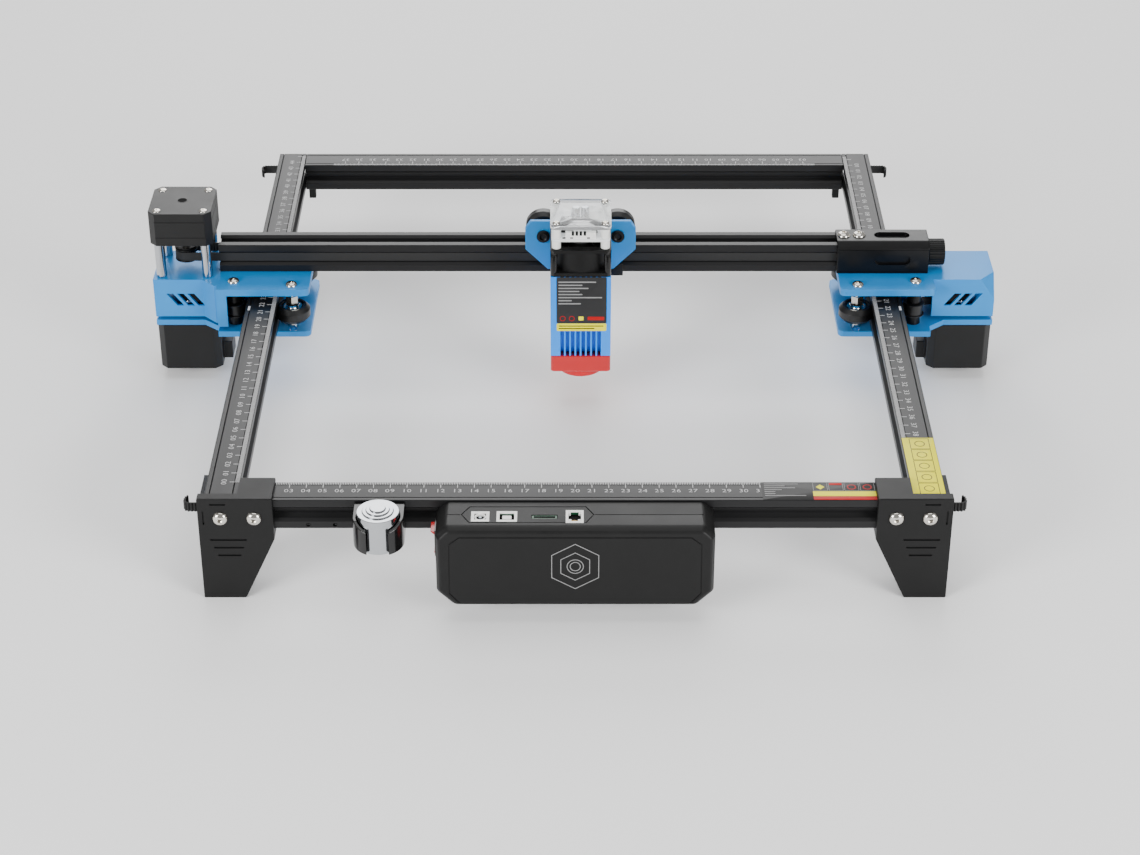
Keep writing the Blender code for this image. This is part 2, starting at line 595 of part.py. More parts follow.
def build_top_plate(name, side):
    rib_in, rib_out = PLATE_RIB
    slant_in, slant_out = PLATE_SLANT
    wall = SKIRT_WALL
    if side < 0:
        rim = [(rib_in, -PLATE_HALF), (rib_out, -PLATE_HALF), (rib_out, -SLANT_HALF),
               (slant_in, -SLANT_HALF), (slant_out, -BLOCK_HALF), (PLATE_OUTER, -BLOCK_HALF)]
        lining = [(rib_in, wall - PLATE_HALF), (rib_out - wall, wall - PLATE_HALF),
                  (rib_out - wall, wall - SLANT_HALF), (slant_in - wall / 2, wall - SLANT_HALF),
                  (slant_out - wall / 2, wall - BLOCK_HALF), (PLATE_OUTER - wall, wall - BLOCK_HALF)]
        front = [(-PLATE_INNER, -PLATE_HALF)] + rim
        corners = (0,)
    else:
        rim = [(slant_in, -BLOCK_HALF), (PLATE_OUTER, -BLOCK_HALF)]
        lining = [(slant_in, wall - BLOCK_HALF), (PLATE_OUTER - wall, wall - BLOCK_HALF)]
        front = [(-PLATE_INNER, -PLATE_HALF), (slant_in, -PLATE_HALF)] + rim
        corners = (0, 1)
    rim += [(across, -along) for across, along in reversed(rim)]
    lining += [(across, -along) for across, along in reversed(lining)]
    outline = front + [(across, -along) for across, along in reversed(front)]
    corners += tuple(len(outline) - 1 - corner for corner in corners)
    plate = prism(name, plan(side, rounded(outline, corners)), PLATE_TOP - PLATE_THICK, PLATE_TOP,
                  "blue_plate")
    skirt = prism("skirt", plan(side, rim + lining[::-1]), RAIL_TOP - SKIRT_DROP,
                  PLATE_TOP - PLATE_THICK / 2, "blue_plate")
    pins = [skirt]
    pin_low = LOWER_TOP - LOWER_THICK
    for end in (-1, 1):
        pins.append(axle(side, -WHEEL_OFFSET, end * WHEEL_SPREAD, pin_low, PLATE_TOP - wall, AXLE_RADIUS))
        pins.append(axle(side, IDLER_OFFSET, end * IDLER_SPREAD, pin_low, PLATE_TOP - wall, AXLE_RADIUS))
    combine(plate, pins, "UNION")

    cuts = []
    first = MOTOR_OFFSET - VENT_PITCH * (VENT_COUNT - 1) / 2 + VENT_LEAN / 2
    vent_low, vent_high = (RAIL_TOP - drop for drop in VENT_DROP)
    for i in range(VENT_COUNT):
        middle = first + i * VENT_PITCH
        left, right = middle - VENT_WIDTH / 2, middle + VENT_WIDTH / 2
        vent = [(left, vent_high), (right, vent_high), (right - VENT_LEAN, vent_low),
                (left - VENT_LEAN, vent_low)]
        loops = [[(side * (RAIL_X + a), GANTRY_Y - BLOCK_HALF + t, b) for a, b in vent]
                 for t in (-wall, 2 * wall)]
        cuts.append(loft("vent", loops, "blue_plate"))
    if side > 0:
        corner = Vector((RAIL_X + PLATE_OUTER, GANTRY_Y - BLOCK_HALF, PLATE_TOP))
        apex = corner + Vector((OVER, -OVER, OVER))
        wide, deep, tall = CORNER_FACET
        reach = 1 + 3 * OVER / min(CORNER_FACET)
        inner = corner + Vector((-wide - wall, deep + wall, -PLATE_THICK / 2))
        outer = corner + Vector((-wall / 2, wall / 2, -tall - wall))
        fill = box("fill", (inner.x, outer.y, outer.z), (outer.x, inner.y, inner.z), "blue_plate")
        combine(plate, [fill], "UNION")
        ends = [apex + Vector((-wide * reach, 0, 0)), apex + Vector((0, deep * reach, 0)),
                apex + Vector((0, 0, -tall * reach))]
        bm = bmesh.new()
        tip = [bm.verts.new(p) for p in [apex] + ends]
        for trio in ((0, 1, 2), (0, 2, 3), (0, 3, 1), (1, 2, 3)):
            bm.faces.new([tip[k] for k in trio])
        cuts.append(make("facet", bm, "blue_plate"))
    combine(plate, cuts, "DIFFERENCE")
    return plate


def build_lower_plate(name, side):
    front = [(-PLATE_INNER, -LOWER_HALF), (PLATE_RIB[1], -LOWER_HALF), (PLATE_RIB[1], -SLANT_HALF),
             (PLATE_SLANT[1], -BLOCK_HALF), (PLATE_OUTER, -BLOCK_HALF)]
    outline = front + [(across, -along) for across, along in reversed(front)]
    corners = (0, len(outline) - 1)
    plate = prism(name, plan(side, rounded(outline, corners)), LOWER_TOP - LOWER_THICK, LOWER_TOP,
                  "blue_plate")
    low, high = LOWER_TOP - 2 * LOWER_THICK, LOWER_TOP + LOWER_THICK
    holes = [axle(side, MOTOR_OFFSET, 0, low, high, BOSS_RADIUS + SEAT, 48)]
    hole = AXLE_RADIUS + SEAT
    for end in (-1, 1):
        holes.append(axle(side, IDLER_OFFSET, end * IDLER_SPREAD, low, high, hole))
        near, far = end * WHEEL_SPREAD, end * (WHEEL_SPREAD + 0.005)
        slot = arc((-WHEEL_OFFSET, min(near, far)), hole, -math.pi, 0, 8)
        slot += arc((-WHEEL_OFFSET, max(near, far)), hole, 0, math.pi, 8)
        holes.append(prism("slot", plan(side, slot), low, high, "blue_plate"))
    return combine(plate, holes, "DIFFERENCE")


def motor_outline(x, y):
    half, cut = MOTOR_SIDE / 2, MOTOR_CORNER
    quarter = [(half, half - cut), (half - cut, half)]
    corners = []
    for turn in range(4):
        cos, sin = round(math.cos(turn * math.pi / 2)), round(math.sin(turn * math.pi / 2))
        corners += [(x + a * cos - b * sin, y + a * sin + b * cos) for a, b in quarter]
    return corners


def build_motor(name, x, low, high, shaft_up):
    """Square stepper with its boss; the shaft belongs to the pulley that it carries."""
    motor = prism(name, motor_outline(x, GANTRY_Y), low, high, "motor_black")
    face, way = (high, 1) if shaft_up else (low, -1)
    centre = (x, GANTRY_Y, 0)

    def post(radius, inside, outside):
        ends = sorted((face - way * inside, face + way * outside))
        outline = [(0, ends[0]), (radius, ends[0]), (radius, ends[1]), (0, ends[1])]
        return turned("post", outline, centre, "motor_black", steps=24)

    tools = [post(BOSS_RADIUS, OVER, BOSS_HEIGHT)]
    if shaft_up:
        depth, wide, tall = CONNECTOR
        inner = x - math.copysign(MOTOR_SIDE / 2 - OVER, x)
        tip = inner - math.copysign(depth + OVER, x)
        foot = low + CONNECTOR_LIFT
        tools.append(box("connector", (min(inner, tip), GANTRY_Y - wide / 2, foot),
                         (max(inner, tip), GANTRY_Y + wide / 2, foot + tall), "motor_black"))
    combine(motor, tools, "UNION")
    combine(motor, [post(SHAFT_RADIUS + SEAT, SHAFT_SINK, 2 * BOSS_HEIGHT)], "DIFFERENCE")
    motor.data.name = name
    return motor


def pulley_profile(height, shaft_end, hub_side):
    """Flanged pulley centred on the belt at height, with the motor shaft as its core."""
    half = BELT_WIDTH / 2 + RUN
    thick = FLANGE_THICK
    way = hub_side
    points = [(0, height + way * (half + thick)), (PULLEY_FLANGE, height + way * (half + thick)),
              (PULLEY_FLANGE, height + way * half), (PULLEY_RADIUS, height + way * half),
              (PULLEY_RADIUS, height - way * half), (PULLEY_FLANGE, height - way * half),
              (PULLEY_FLANGE, height - way * (half + thick)), (PULLEY_HUB, height - way * (half + thick)),
              (PULLEY_HUB, height - way * (half + 2 * thick)),
              (SHAFT_RADIUS, height - way * (half + 2 * thick)),
              (SHAFT_RADIUS, shaft_end), (0, shaft_end)]
    return points


def build_wheel(name, centre, axis):
    half, rim = WHEEL_WIDTH / 2, WHEEL_RIM / 2
    flank = WHEEL_RADIUS - (half - rim)
    bore = AXLE_RADIUS + SEAT
    profile = [(bore, -half), (flank, -half), (WHEEL_RADIUS, -rim), (WHEEL_RADIUS, rim), (flank, half),
               (bore, half)]
    return turned(name, profile, centre, "wheel_plastic", axis, 24)


def idler_profile():
    half, thick = IDLER_WIDTH / 2, FLANGE_THICK
    bore, flange = AXLE_RADIUS + SEAT, IDLER_FLANGE
    return [(bore, -half), (flange, -half), (flange, thick - half), (IDLER_RADIUS, thick - half),
            (IDLER_RADIUS, half - thick), (flange, half - thick), (flange, half), (bore, half)]


def build_belt_loop(name, side):
    """Belt from the slot, round the front idler, the motor pulley and the rear idler, and back."""
    idler = Vector((IDLER_OFFSET, -IDLER_SPREAD))
    pulley = Vector((MOTOR_OFFSET, 0))
    idler_radius = IDLER_RADIUS + SEAT + BELT_THICK / 2
    between = pulley - idler
    heading = math.atan2(between.y, between.x) - math.asin((idler_radius + BELT_RADIUS) / between.length)
    start = Vector((BELT_IN_SLOT + BELT_THICK + 2 * SEAT, -IDLER_SPREAD - IDLER_OFFSET))
    back = start - idler
    touch = math.atan2(back.y, back.x) - math.acos(idler_radius / back.length)
    half = [tuple(start)] + arc(idler, idler_radius, touch + math.tau, heading + math.pi / 2, 8)
    wrap = arc(pulley, BELT_RADIUS, heading - math.pi / 2, math.pi / 2 - heading, 12)
    path = half + wrap + [(across, -along) for across, along in reversed(half)]
    outline = strip(plan(side, path), BELT_THICK)
    return prism(name, outline, RAIL_Z - BELT_WIDTH / 2, RAIL_Z + BELT_WIDTH / 2, "belt_rubber")


def build_x_belt():
    """Closed loop round the motor pulley and the tensioner's idler, through the beam's slots."""
    ends = []
    for offset in (BELT_THICK / 2, -BELT_THICK / 2):
        radius = BELT_RADIUS + offset
        ends.append(arc((-MOTOR_X, GANTRY_Y), radius, math.pi / 2, math.pi * 1.5, 12)
                    + arc((X_IDLER, GANTRY_Y), radius, -math.pi / 2, math.pi / 2, 12))
    return loop_prism("x_belt", *ends, BEAM_Z - BELT_WIDTH / 2, BEAM_Z + BELT_WIDTH / 2, "belt_rubber")


def build_tensioner():
    centre = GANTRY_Y
    inner = PROFILE / 2 + SEAT
    outer = inner + TENSIONER_WALL
    top = BEAM_Z + PROFILE / 2 + SEAT + TENSIONER_WALL
    low = BEAM_Z + PROFILE / 2 - TENSIONER_DROP
    section = [(centre - outer, low), (centre + outer, low), (centre + outer, top - TENSIONER_CUT),
               (centre + outer - TENSIONER_CUT, top), (centre - outer + TENSIONER_CUT, top),
               (centre - outer, top - TENSIONER_CUT)]
    block = prism("tensioner_block", section, TENSIONER_LEFT, TENSIONER_RIGHT, "black_anodised", "X")
    channel = box("channel", (TENSIONER_LEFT - OVER, centre - inner, low - OVER),
                  (TENSIONER_RIGHT - TENSIONER_WALL, centre + inner, top - TENSIONER_WALL), "black_anodised")
    left, right = (TENSIONER_LEFT + reach for reach in TENSIONER_WINDOW)
    upper = box("upper", (left, centre - WINDOW_TOP / 2, top - 2 * TENSIONER_WALL),
                (right, centre + WINDOW_TOP / 2, top + OVER), "black_anodised")
    sides = box("sides", (left, centre - 2 * outer, BEAM_Z - WINDOW_SIDE / 2),
                (right, centre + 2 * outer, BEAM_Z + WINDOW_SIDE / 2), "black_anodised")
    radius = SHAFT_RADIUS + RUN
    span = 2 * TENSIONER_WALL
    bore = turned("bore", [(0, -span), (radius, -span), (radius, span), (0, span)],
                  (TENSIONER_RIGHT, centre, BEAM_Z), "black_anodised", "X", 16)
    combine(block, [channel, upper, sides, bore], "DIFFERENCE")

    web_in, web_out = (X_IDLER + reach for reach in FORK_WEB)
    half = IDLER_FLANGE - RUN
    prong_in = IDLER_WIDTH / 2 + RUN
    prong_out = prong_in + FORK_PRONG
    side_view = [(web_out, BEAM_Z - prong_out), (web_out, BEAM_Z + prong_out),
                 (X_IDLER - half, BEAM_Z + prong_out), (X_IDLER - half, BEAM_Z + prong_in),
                 (web_in, BEAM_Z + prong_in), (web_in, BEAM_Z - prong_in),
                 (X_IDLER - half, BEAM_Z - prong_in), (X_IDLER - half, BEAM_Z - prong_out)]
    fork = prism("idler_fork", side_view, centre - half, centre + half, "steel", "Y")
    pin_end = prong_out - FORK_PIN_SINK
    pin = turned("pin", [(0, -pin_end), (AXLE_RADIUS, -pin_end),
                         (AXLE_RADIUS, pin_end), (0, pin_end)],
                 (X_IDLER, centre, BEAM_Z), "steel", steps=12)
    combine(fork, [pin], "UNION")
    tapped = SHAFT_RADIUS + SEAT
    start, end = FORK_THREAD
    hole = turned("hole", [(0, start), (tapped, start), (tapped, end), (0, end)],
                  (web_in, centre, BEAM_Z), "steel", "X", 16)
    combine(fork, [hole], "DIFFERENCE")
    turned("x_belt_idler", idler_profile(),
           (X_IDLER, centre, BEAM_Z), "steel", steps=20)

    knob_in = TENSIONER_RIGHT + RUN
    knurl = []
    for i in range(2 * KNOB_RIDGES):
        radius = KNOB_RADIUS if i % 2 else KNOB_RADIUS * KNOB_VALLEY
        angle = math.pi * i / KNOB_RIDGES
        knurl.append((radius * math.cos(angle), radius * math.sin(angle)))
    loops = [[(t, a, b) for a, b in knurl] for t in (0, KNOB_LENGTH)]
    knob = loft("tension_knob", loops, "black_anodised", Matrix.Translation((knob_in, centre, BEAM_Z)))
    reach = knob_in - web_in - RUN
    screw = turned("screw", [(0, -reach), (SHAFT_RADIUS, -reach), (SHAFT_RADIUS, OVER), (0, OVER)],
                   (knob_in, centre, BEAM_Z), "steel", "X", 16)
    combine(knob, [screw], "UNION")
    return [block, fork, knob, bpy.data.objects["x_belt_idler"]]


def build_gantry():
    parts = [rail("x_beam", "X", GANTRY_Y, BEAM_Z, *BEAM_ENDS, (True,) * 4)]
    motor_top = LOWER_TOP - LOWER_THICK - SEAT
    for side, word in ((-1, "left"), (1, "right")):
        parts.append(build_top_plate(word + "_top_plate", side))
        parts.append(build_lower_plate(word + "_lower_plate", side))
        x = side * MOTOR_X
        parts.append(build_motor(word + "_y_motor", x, Y_MOTOR_CLEARANCE, motor_top, True))
        profile = pulley_profile(0, motor_top - 0.006 - RAIL_Z, 1)
        parts.append(turned(word + "_y_pulley", profile, (x, GANTRY_Y, RAIL_Z), "steel", steps=20))
        parts.append(build_belt_loop(word + "_belt_loop", side))
        for end, place in ((-1, "front"), (1, "rear")):
            wheel_at = (side * (RAIL_X - WHEEL_OFFSET), GANTRY_Y + end * WHEEL_SPREAD, RAIL_Z)
            parts.append(build_wheel(f"{word}_{place}_wheel", wheel_at, "Z"))
            idler_at = (side * IDLER_X, GANTRY_Y + end * IDLER_SPREAD, RAIL_Z)
            parts.append(turned(f"{word}_{place}_idler", idler_profile(), idler_at,
                                "wheel_plastic", steps=20))
    motor_low = PLATE_TOP + X_MOTOR_LIFT + SEAT
    parts.append(build_motor("x_motor", -MOTOR_X, motor_low, motor_low + X_MOTOR_LENGTH, False))
    profile = pulley_profile(0, motor_low + 0.006 - BEAM_Z, -1)
    parts.append(turned("x_pulley", profile, (-MOTOR_X, GANTRY_Y, BEAM_Z), "steel", steps=20))
    ends = [PLATE_TOP + SEAT, motor_low - SEAT]
    for i in range(4):
        across, along = (i % 2 - 0.5) * MOTOR_PITCH, (i // 2 - 0.5) * MOTOR_PITCH
        outline = [(0, ends[0]), (STANDOFF_RADIUS, ends[0]), (STANDOFF_RADIUS, ends[1]), (0, ends[1])]
        centre = (-MOTOR_X + across, GANTRY_Y + along, 0)
        parts.append(turned(f"motor_standoff_{i + 1}", outline, centre, "steel", steps=20))
    parts.append(build_x_belt())
    return parts + build_tensioner()


# ---- carriage and laser ---------------------------------------------------------------------
def build_carriage():
    face = GANTRY_Y - CARRIAGE_FRONT
    top, shoulder, waist, foot = (BEAM_Z + level for level in CARRIAGE_LEVELS)
    cut_across, cut_down = CARRIAGE_CUT
    right = [(CARRIAGE_NECK, foot), (CARRIAGE_NECK, waist), (CARRIAGE_HALF - CARRIAGE_WING, waist),
             (CARRIAGE_HALF, shoulder), (CARRIAGE_HALF, top - cut_down), (CARRIAGE_HALF - cut_across, top)]
    outline = [(CARRIAGE_X + a, b) for a, b in right] + [(CARRIAGE_X - a, b) for a, b in reversed(right)]
    plate = prism("carriage_plate", outline, face, face + CARRIAGE_THICK, "blue_plate", "Y")
    places = {"upper_left": (-X_WHEEL_SPREAD, 1), "upper_right": (X_WHEEL_SPREAD, 1), "lower": (0, -1)}
    pins, wheels = [], []
    for word, (across, up) in places.items():
        at = (CARRIAGE_X + across, GANTRY_Y, BEAM_Z + up * WHEEL_OFFSET)
        wheels.append(build_wheel(f"{word}_carriage_wheel", at, "Y"))
        reach = (-CARRIAGE_FRONT + CARRIAGE_THICK / 2, WHEEL_WIDTH / 2 + PIN_OVERHANG)
        profile = [(0, reach[0]), (AXLE_RADIUS, reach[0]), (AXLE_RADIUS, reach[1]), (0, reach[1])]
        pins.append(turned("pin", profile, at, "steel", "Y", 12))
    combine(plate, pins, "UNION")
    return [plate] + wheels


def comb_outline(x, y):
    """Heatsink section: a square whose front side is slotted between two solid flanks."""
    half = LASER_SIDE / 2
    root = y - half + FIN_DEPTH
    points = [(x + half, y + half), (x - half, y + half), (x - half, y - half)]
    for i in range(FIN_SLOTS):
        middle = x + (i - (FIN_SLOTS - 1) / 2) * FIN_PITCH
        left, right = middle - FIN_GAP / 2, middle + FIN_GAP / 2
        points += [(left, y - half), (left, root), (right, root), (right, y - half)]
    return points + [(x + half, y - half)]


def rod(name, x, y, low, high, radius, finish="steel", steps=16):
    return turned(name, [(0, low), (radius, low), (radius, high), (0, high)], (x, y, 0), finish, steps=steps)


def build_laser():
    x, y = CARRIAGE_X, GANTRY_Y + LASER_Y
    half = LASER_SIDE / 2
    bore = BARREL_RADIUS + RUN
    sink = prism("heatsink", comb_outline(x, y), HEATSINK_LOW, HEATSINK_HIGH, "blue_fins")
    combine(sink, [rod("bore", x, y, HEATSINK_LOW - OVER, HEATSINK_HIGH + OVER, bore, steps=24)],
            "DIFFERENCE")

    barrel_low = HEATSINK_LOW - BARREL_OUT
    barrel = rod("laser_barrel", x, y, barrel_low, HEATSINK_HIGH - SHIELD_WALL, BARREL_RADIUS, "brass", 24)
    well = rod("well", x, y, barrel_low - OVER, barrel_low + BARREL_WELL, LENS_RADIUS + SEAT, steps=24)
    combine(barrel, [well], "DIFFERENCE")
    lens_low = barrel_low + LENS_INSET
    lens = rod("focus_lens", x, y, lens_low, lens_low + LENS_THICK, LENS_RADIUS, "glass", 24)

    shield_top = HEATSINK_LOW - SEAT
    shield_low = shield_top - SHIELD_HEIGHT
    shield = box("red_shield", (x - half, y - half, shield_low), (x + half, y + half, shield_top),
                 "red_plastic")
    hollow = box("hollow", (x - half + SHIELD_WALL, y - half + SHIELD_WALL, shield_low - OVER),
                 (x + half - SHIELD_WALL, y + half - SHIELD_WALL, shield_top - SHIELD_WALL), "red_plastic")
    combine(shield, [hollow], "DIFFERENCE")
    hole = rod("hole", x, y, shield_low, shield_top + OVER, bore + RUN, steps=24)
    combine(shield, [hole], "DIFFERENCE")
    sleeve_low, sleeve_high = shield_low - SLEEVE_OUT, shield_top - SHIELD_WALL - SEAT
    sleeve = rod("red_sleeve", x, y, sleeve_low, sleeve_high, SLEEVE_RADIUS, "red_plastic", 48)
    inside = rod("inside", x, y, sleeve_low - OVER, sleeve_high + OVER, SLEEVE_RADIUS - SLEEVE_WALL,
                 steps=48)
    combine(sleeve, [inside], "DIFFERENCE")

    mount_back = GANTRY_Y - CARRIAGE_FRONT - RUN
    mount = box("laser_mount", (x - half + MOUNT_INSET, y + half + SEAT, HEATSINK_LOW + MOUNT_INSET),
                (x + half - MOUNT_INSET, mount_back, HEATSINK_HIGH - MOUNT_INSET), "blue_plate")

    frame = box("fan_frame", (x - half, y - half, FAN_LOW), (x + half, y + half, FAN_HIGH), "black_moulding")
    combine(frame, [rod("bore", x, y, FAN_LOW - OVER, FAN_HIGH + OVER, FAN_BORE, steps=32)], "DIFFERENCE")
    strut, spoke_height = SPOKE
    hub_top = FAN_LOW + spoke_height
    reach = FAN_BORE + RUN
    spokes = [box("spoke", (x - reach, y - strut, FAN_LOW), (x + reach, y + strut, hub_top),
                  "black_moulding"),
              box("spoke", (x - strut, y - reach, FAN_LOW), (x + strut, y + reach, hub_top),
                  "black_moulding"),
              rod("hub", x, y, FAN_LOW, hub_top, FAN_HUB, steps=24)]
    combine(frame, spokes, "UNION")

    rotor_low = hub_top + RUN
    rotor_high = FAN_HIGH - 2 * RUN
    hub = [(0, rotor_low), (FAN_HUB, rotor_low), (FAN_HUB, rotor_high), (0, rotor_high)]
    rotor = turned("fan_rotor", hub, (x, y, 0), "black_moulding", steps=28)
    blades = []
    chord, thick = BLADE_SECTION
    cos, sin = math.cos(BLADE_PITCH), math.sin(BLADE_PITCH)
    section = [(-chord, -thick), (chord, -thick), (chord, thick), (-chord, thick)]
    middle = (rotor_low + rotor_high) / 2
    for i in range(BLADES):
        loops = [[(radius, a * cos - b * sin, middle + a * sin + b * cos) for a, b in section]
                 for radius in (FAN_HUB - 2 * thick, FAN_BORE - 2 * RUN)]
        turn = Matrix.Translation((x, y, 0)) @ Matrix.Rotation(math.tau * i / BLADES, 4, "Z")
        blades.append(loft("blade", loops, "black_moulding", turn))
    combine(rotor, blades, "UNION")

    board_low = FAN_HIGH + DRIVER_LIFT - BOARD_THICK / 2
    inset = BOARD_THICK / 2
    board = box("driver_board", (x - half + inset, y - half + inset, board_low),
                (x + half - inset, y + half - inset, board_low + BOARD_THICK), "board_green")
    cover_top = COVER_LOW + COVER_THICK
    cover = box("clear_cover", (x - half, y - half, COVER_LOW), (x + half, y + half, cover_top),
                "clear_plastic")
    head_radius, head_height = COVER_SCREW
    pillars, screws = [], []
    for i in range(4):
        at = (x + (i % 2 - 0.5) * PILLAR_PITCH, y + (i // 2 - 0.5) * PILLAR_PITCH)
        pillars.append(rod("pillar", *at, FAN_HIGH + SEAT, COVER_LOW - SEAT, PILLAR_RADIUS, steps=12))
        screws.append(rod("screw", *at, cover_top - COVER_THICK / 2, cover_top + head_height, head_radius,
                          steps=12))
    combine(board, pillars, "UNION")
    combine(cover, screws, "UNION")
    return [sink, barrel, lens, shield, sleeve, mount, frame, rotor, board, cover]


def main():
    for existing in list(bpy.data.objects):
        bpy.data.objects.remove(existing)
    build_rails()
    for end, place in ((-1, "front"), (1, "rear")):
        for side, word in ((-1, "left"), (1, "right")):
            build_corner(f"{place}_{word}_corner", side, end)
    build_y_belt("left_y_belt", -1)
    build_y_belt("right_y_belt", 1)
    build_control_box()
    build_gauge()
    ride(build_gantry(), "gantry_carrier", (0, GANTRY_Y, RAIL_Z))
    ride(build_carriage(), "carriage_carrier", (CARRIAGE_X, GANTRY_Y, BEAM_Z))
    ride(build_laser(), "laser_carrier", (CARRIAGE_X, GANTRY_Y + LASER_Y, HEATSINK_LOW))


main()
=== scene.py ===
import json
import math

import bmesh
import bpy
import numpy as np
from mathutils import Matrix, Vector

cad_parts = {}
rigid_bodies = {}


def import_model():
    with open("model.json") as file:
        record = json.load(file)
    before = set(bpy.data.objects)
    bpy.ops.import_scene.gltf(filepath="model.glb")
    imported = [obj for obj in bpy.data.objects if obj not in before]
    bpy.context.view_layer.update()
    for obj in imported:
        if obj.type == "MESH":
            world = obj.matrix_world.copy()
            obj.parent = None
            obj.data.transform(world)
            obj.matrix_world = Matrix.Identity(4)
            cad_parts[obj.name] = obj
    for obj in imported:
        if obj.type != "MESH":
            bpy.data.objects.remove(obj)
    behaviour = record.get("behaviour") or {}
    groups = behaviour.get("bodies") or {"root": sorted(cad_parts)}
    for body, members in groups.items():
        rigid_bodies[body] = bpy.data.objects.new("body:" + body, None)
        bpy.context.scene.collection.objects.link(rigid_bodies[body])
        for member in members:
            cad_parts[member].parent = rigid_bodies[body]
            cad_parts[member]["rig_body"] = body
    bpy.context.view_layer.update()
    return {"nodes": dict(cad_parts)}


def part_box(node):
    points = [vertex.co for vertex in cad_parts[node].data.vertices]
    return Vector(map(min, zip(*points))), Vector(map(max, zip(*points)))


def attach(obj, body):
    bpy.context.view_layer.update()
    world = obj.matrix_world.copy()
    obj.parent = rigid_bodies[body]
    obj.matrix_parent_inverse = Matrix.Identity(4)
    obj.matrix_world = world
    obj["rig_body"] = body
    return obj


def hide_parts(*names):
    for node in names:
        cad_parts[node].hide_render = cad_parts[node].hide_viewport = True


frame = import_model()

nodes = frame["nodes"]
mm = 0.001
turn = 2 * np.pi
print("frame loaded:", len(nodes), "nodes")


# colours and nodes
def linear(code):
    parts = [int(code[i:i + 2], 16) / 255 for i in (0, 2, 4)]
    return [p / 12.92 if p <= 0.04045 else ((p + 0.055) / 1.055) ** 2.4 for p in parts] + [1]


def addNode(tree, kind, settings, links):
    made = tree.nodes.new("ShaderNode" + kind)
    for key, value in settings.items():
        if isinstance(key, str) and hasattr(made, key):
            setattr(made, key, value)
        else:
            made.inputs[key].default_value = value
    for key, socket in links.items():
        tree.links.new(socket, made.inputs[key])
    return made


def surface(name, base, tint, roughness, metallic=0.0, cloudMm=20, grainMm=0.4, grainHeight=0.01,
            stretch=(1, 1, 1), **sockets):
    # two close colours and two roughness values blended by a soft noise, and a fine noise as relief;
    # cloudMm and grainMm are the sizes of the two patterns, grainHeight its relief in millimetres
    material = bpy.data.materials.new(name)
    material.use_nodes = True
    tree = material.node_tree
    shader = tree.nodes["Principled BSDF"]
    shader.inputs["Metallic"].default_value = metallic
    for key, value in sockets.items():
        shader.inputs[key.replace("_", " ")].default_value = value
    place = addNode(tree, "TexCoord", {}, {}).outputs["Object"]
    place = addNode(tree, "Mapping", {"Scale": stretch}, {"Vector": place}).outputs["Vector"]
    cloud = addNode(tree, "TexNoise", {"Scale": 1 / (cloudMm * mm), "Detail": 4.0}, {"Vector": place})
    colour = addNode(tree, "Mix", {"data_type": "RGBA", 6: linear(base), 7: linear(tint)},
                     {0: cloud.outputs[0]})
    tree.links.new(colour.outputs[2], shader.inputs["Base Color"])
    spread = addNode(tree, "MapRange", {"To Min": roughness[0], "To Max": roughness[1]},
                     {"Value": cloud.outputs[0]})
    tree.links.new(spread.outputs[0], shader.inputs["Roughness"])
    grain = addNode(tree, "TexNoise", {"Scale": 1 / (grainMm * mm), "Detail": 2.0}, {"Vector": place})
    relief = addNode(tree, "Bump", {"Strength": 0.6, "Distance": grainHeight * mm},
                     {"Height": grain.outputs[0]})
    tree.links.new(relief.outputs[0], shader.inputs["Normal"])
    return material


def anodisedProfile(name, stretch):
    # black anodised extrusion: fine die lines run along the profile, a soft grey sheen lies on the top faces
    return surface(name, "101011", "1a1a1b", (0.34, 0.44), 0.25, 9, 0.7, 0.006, stretch,
                   Specular_IOR_Level=0.4)


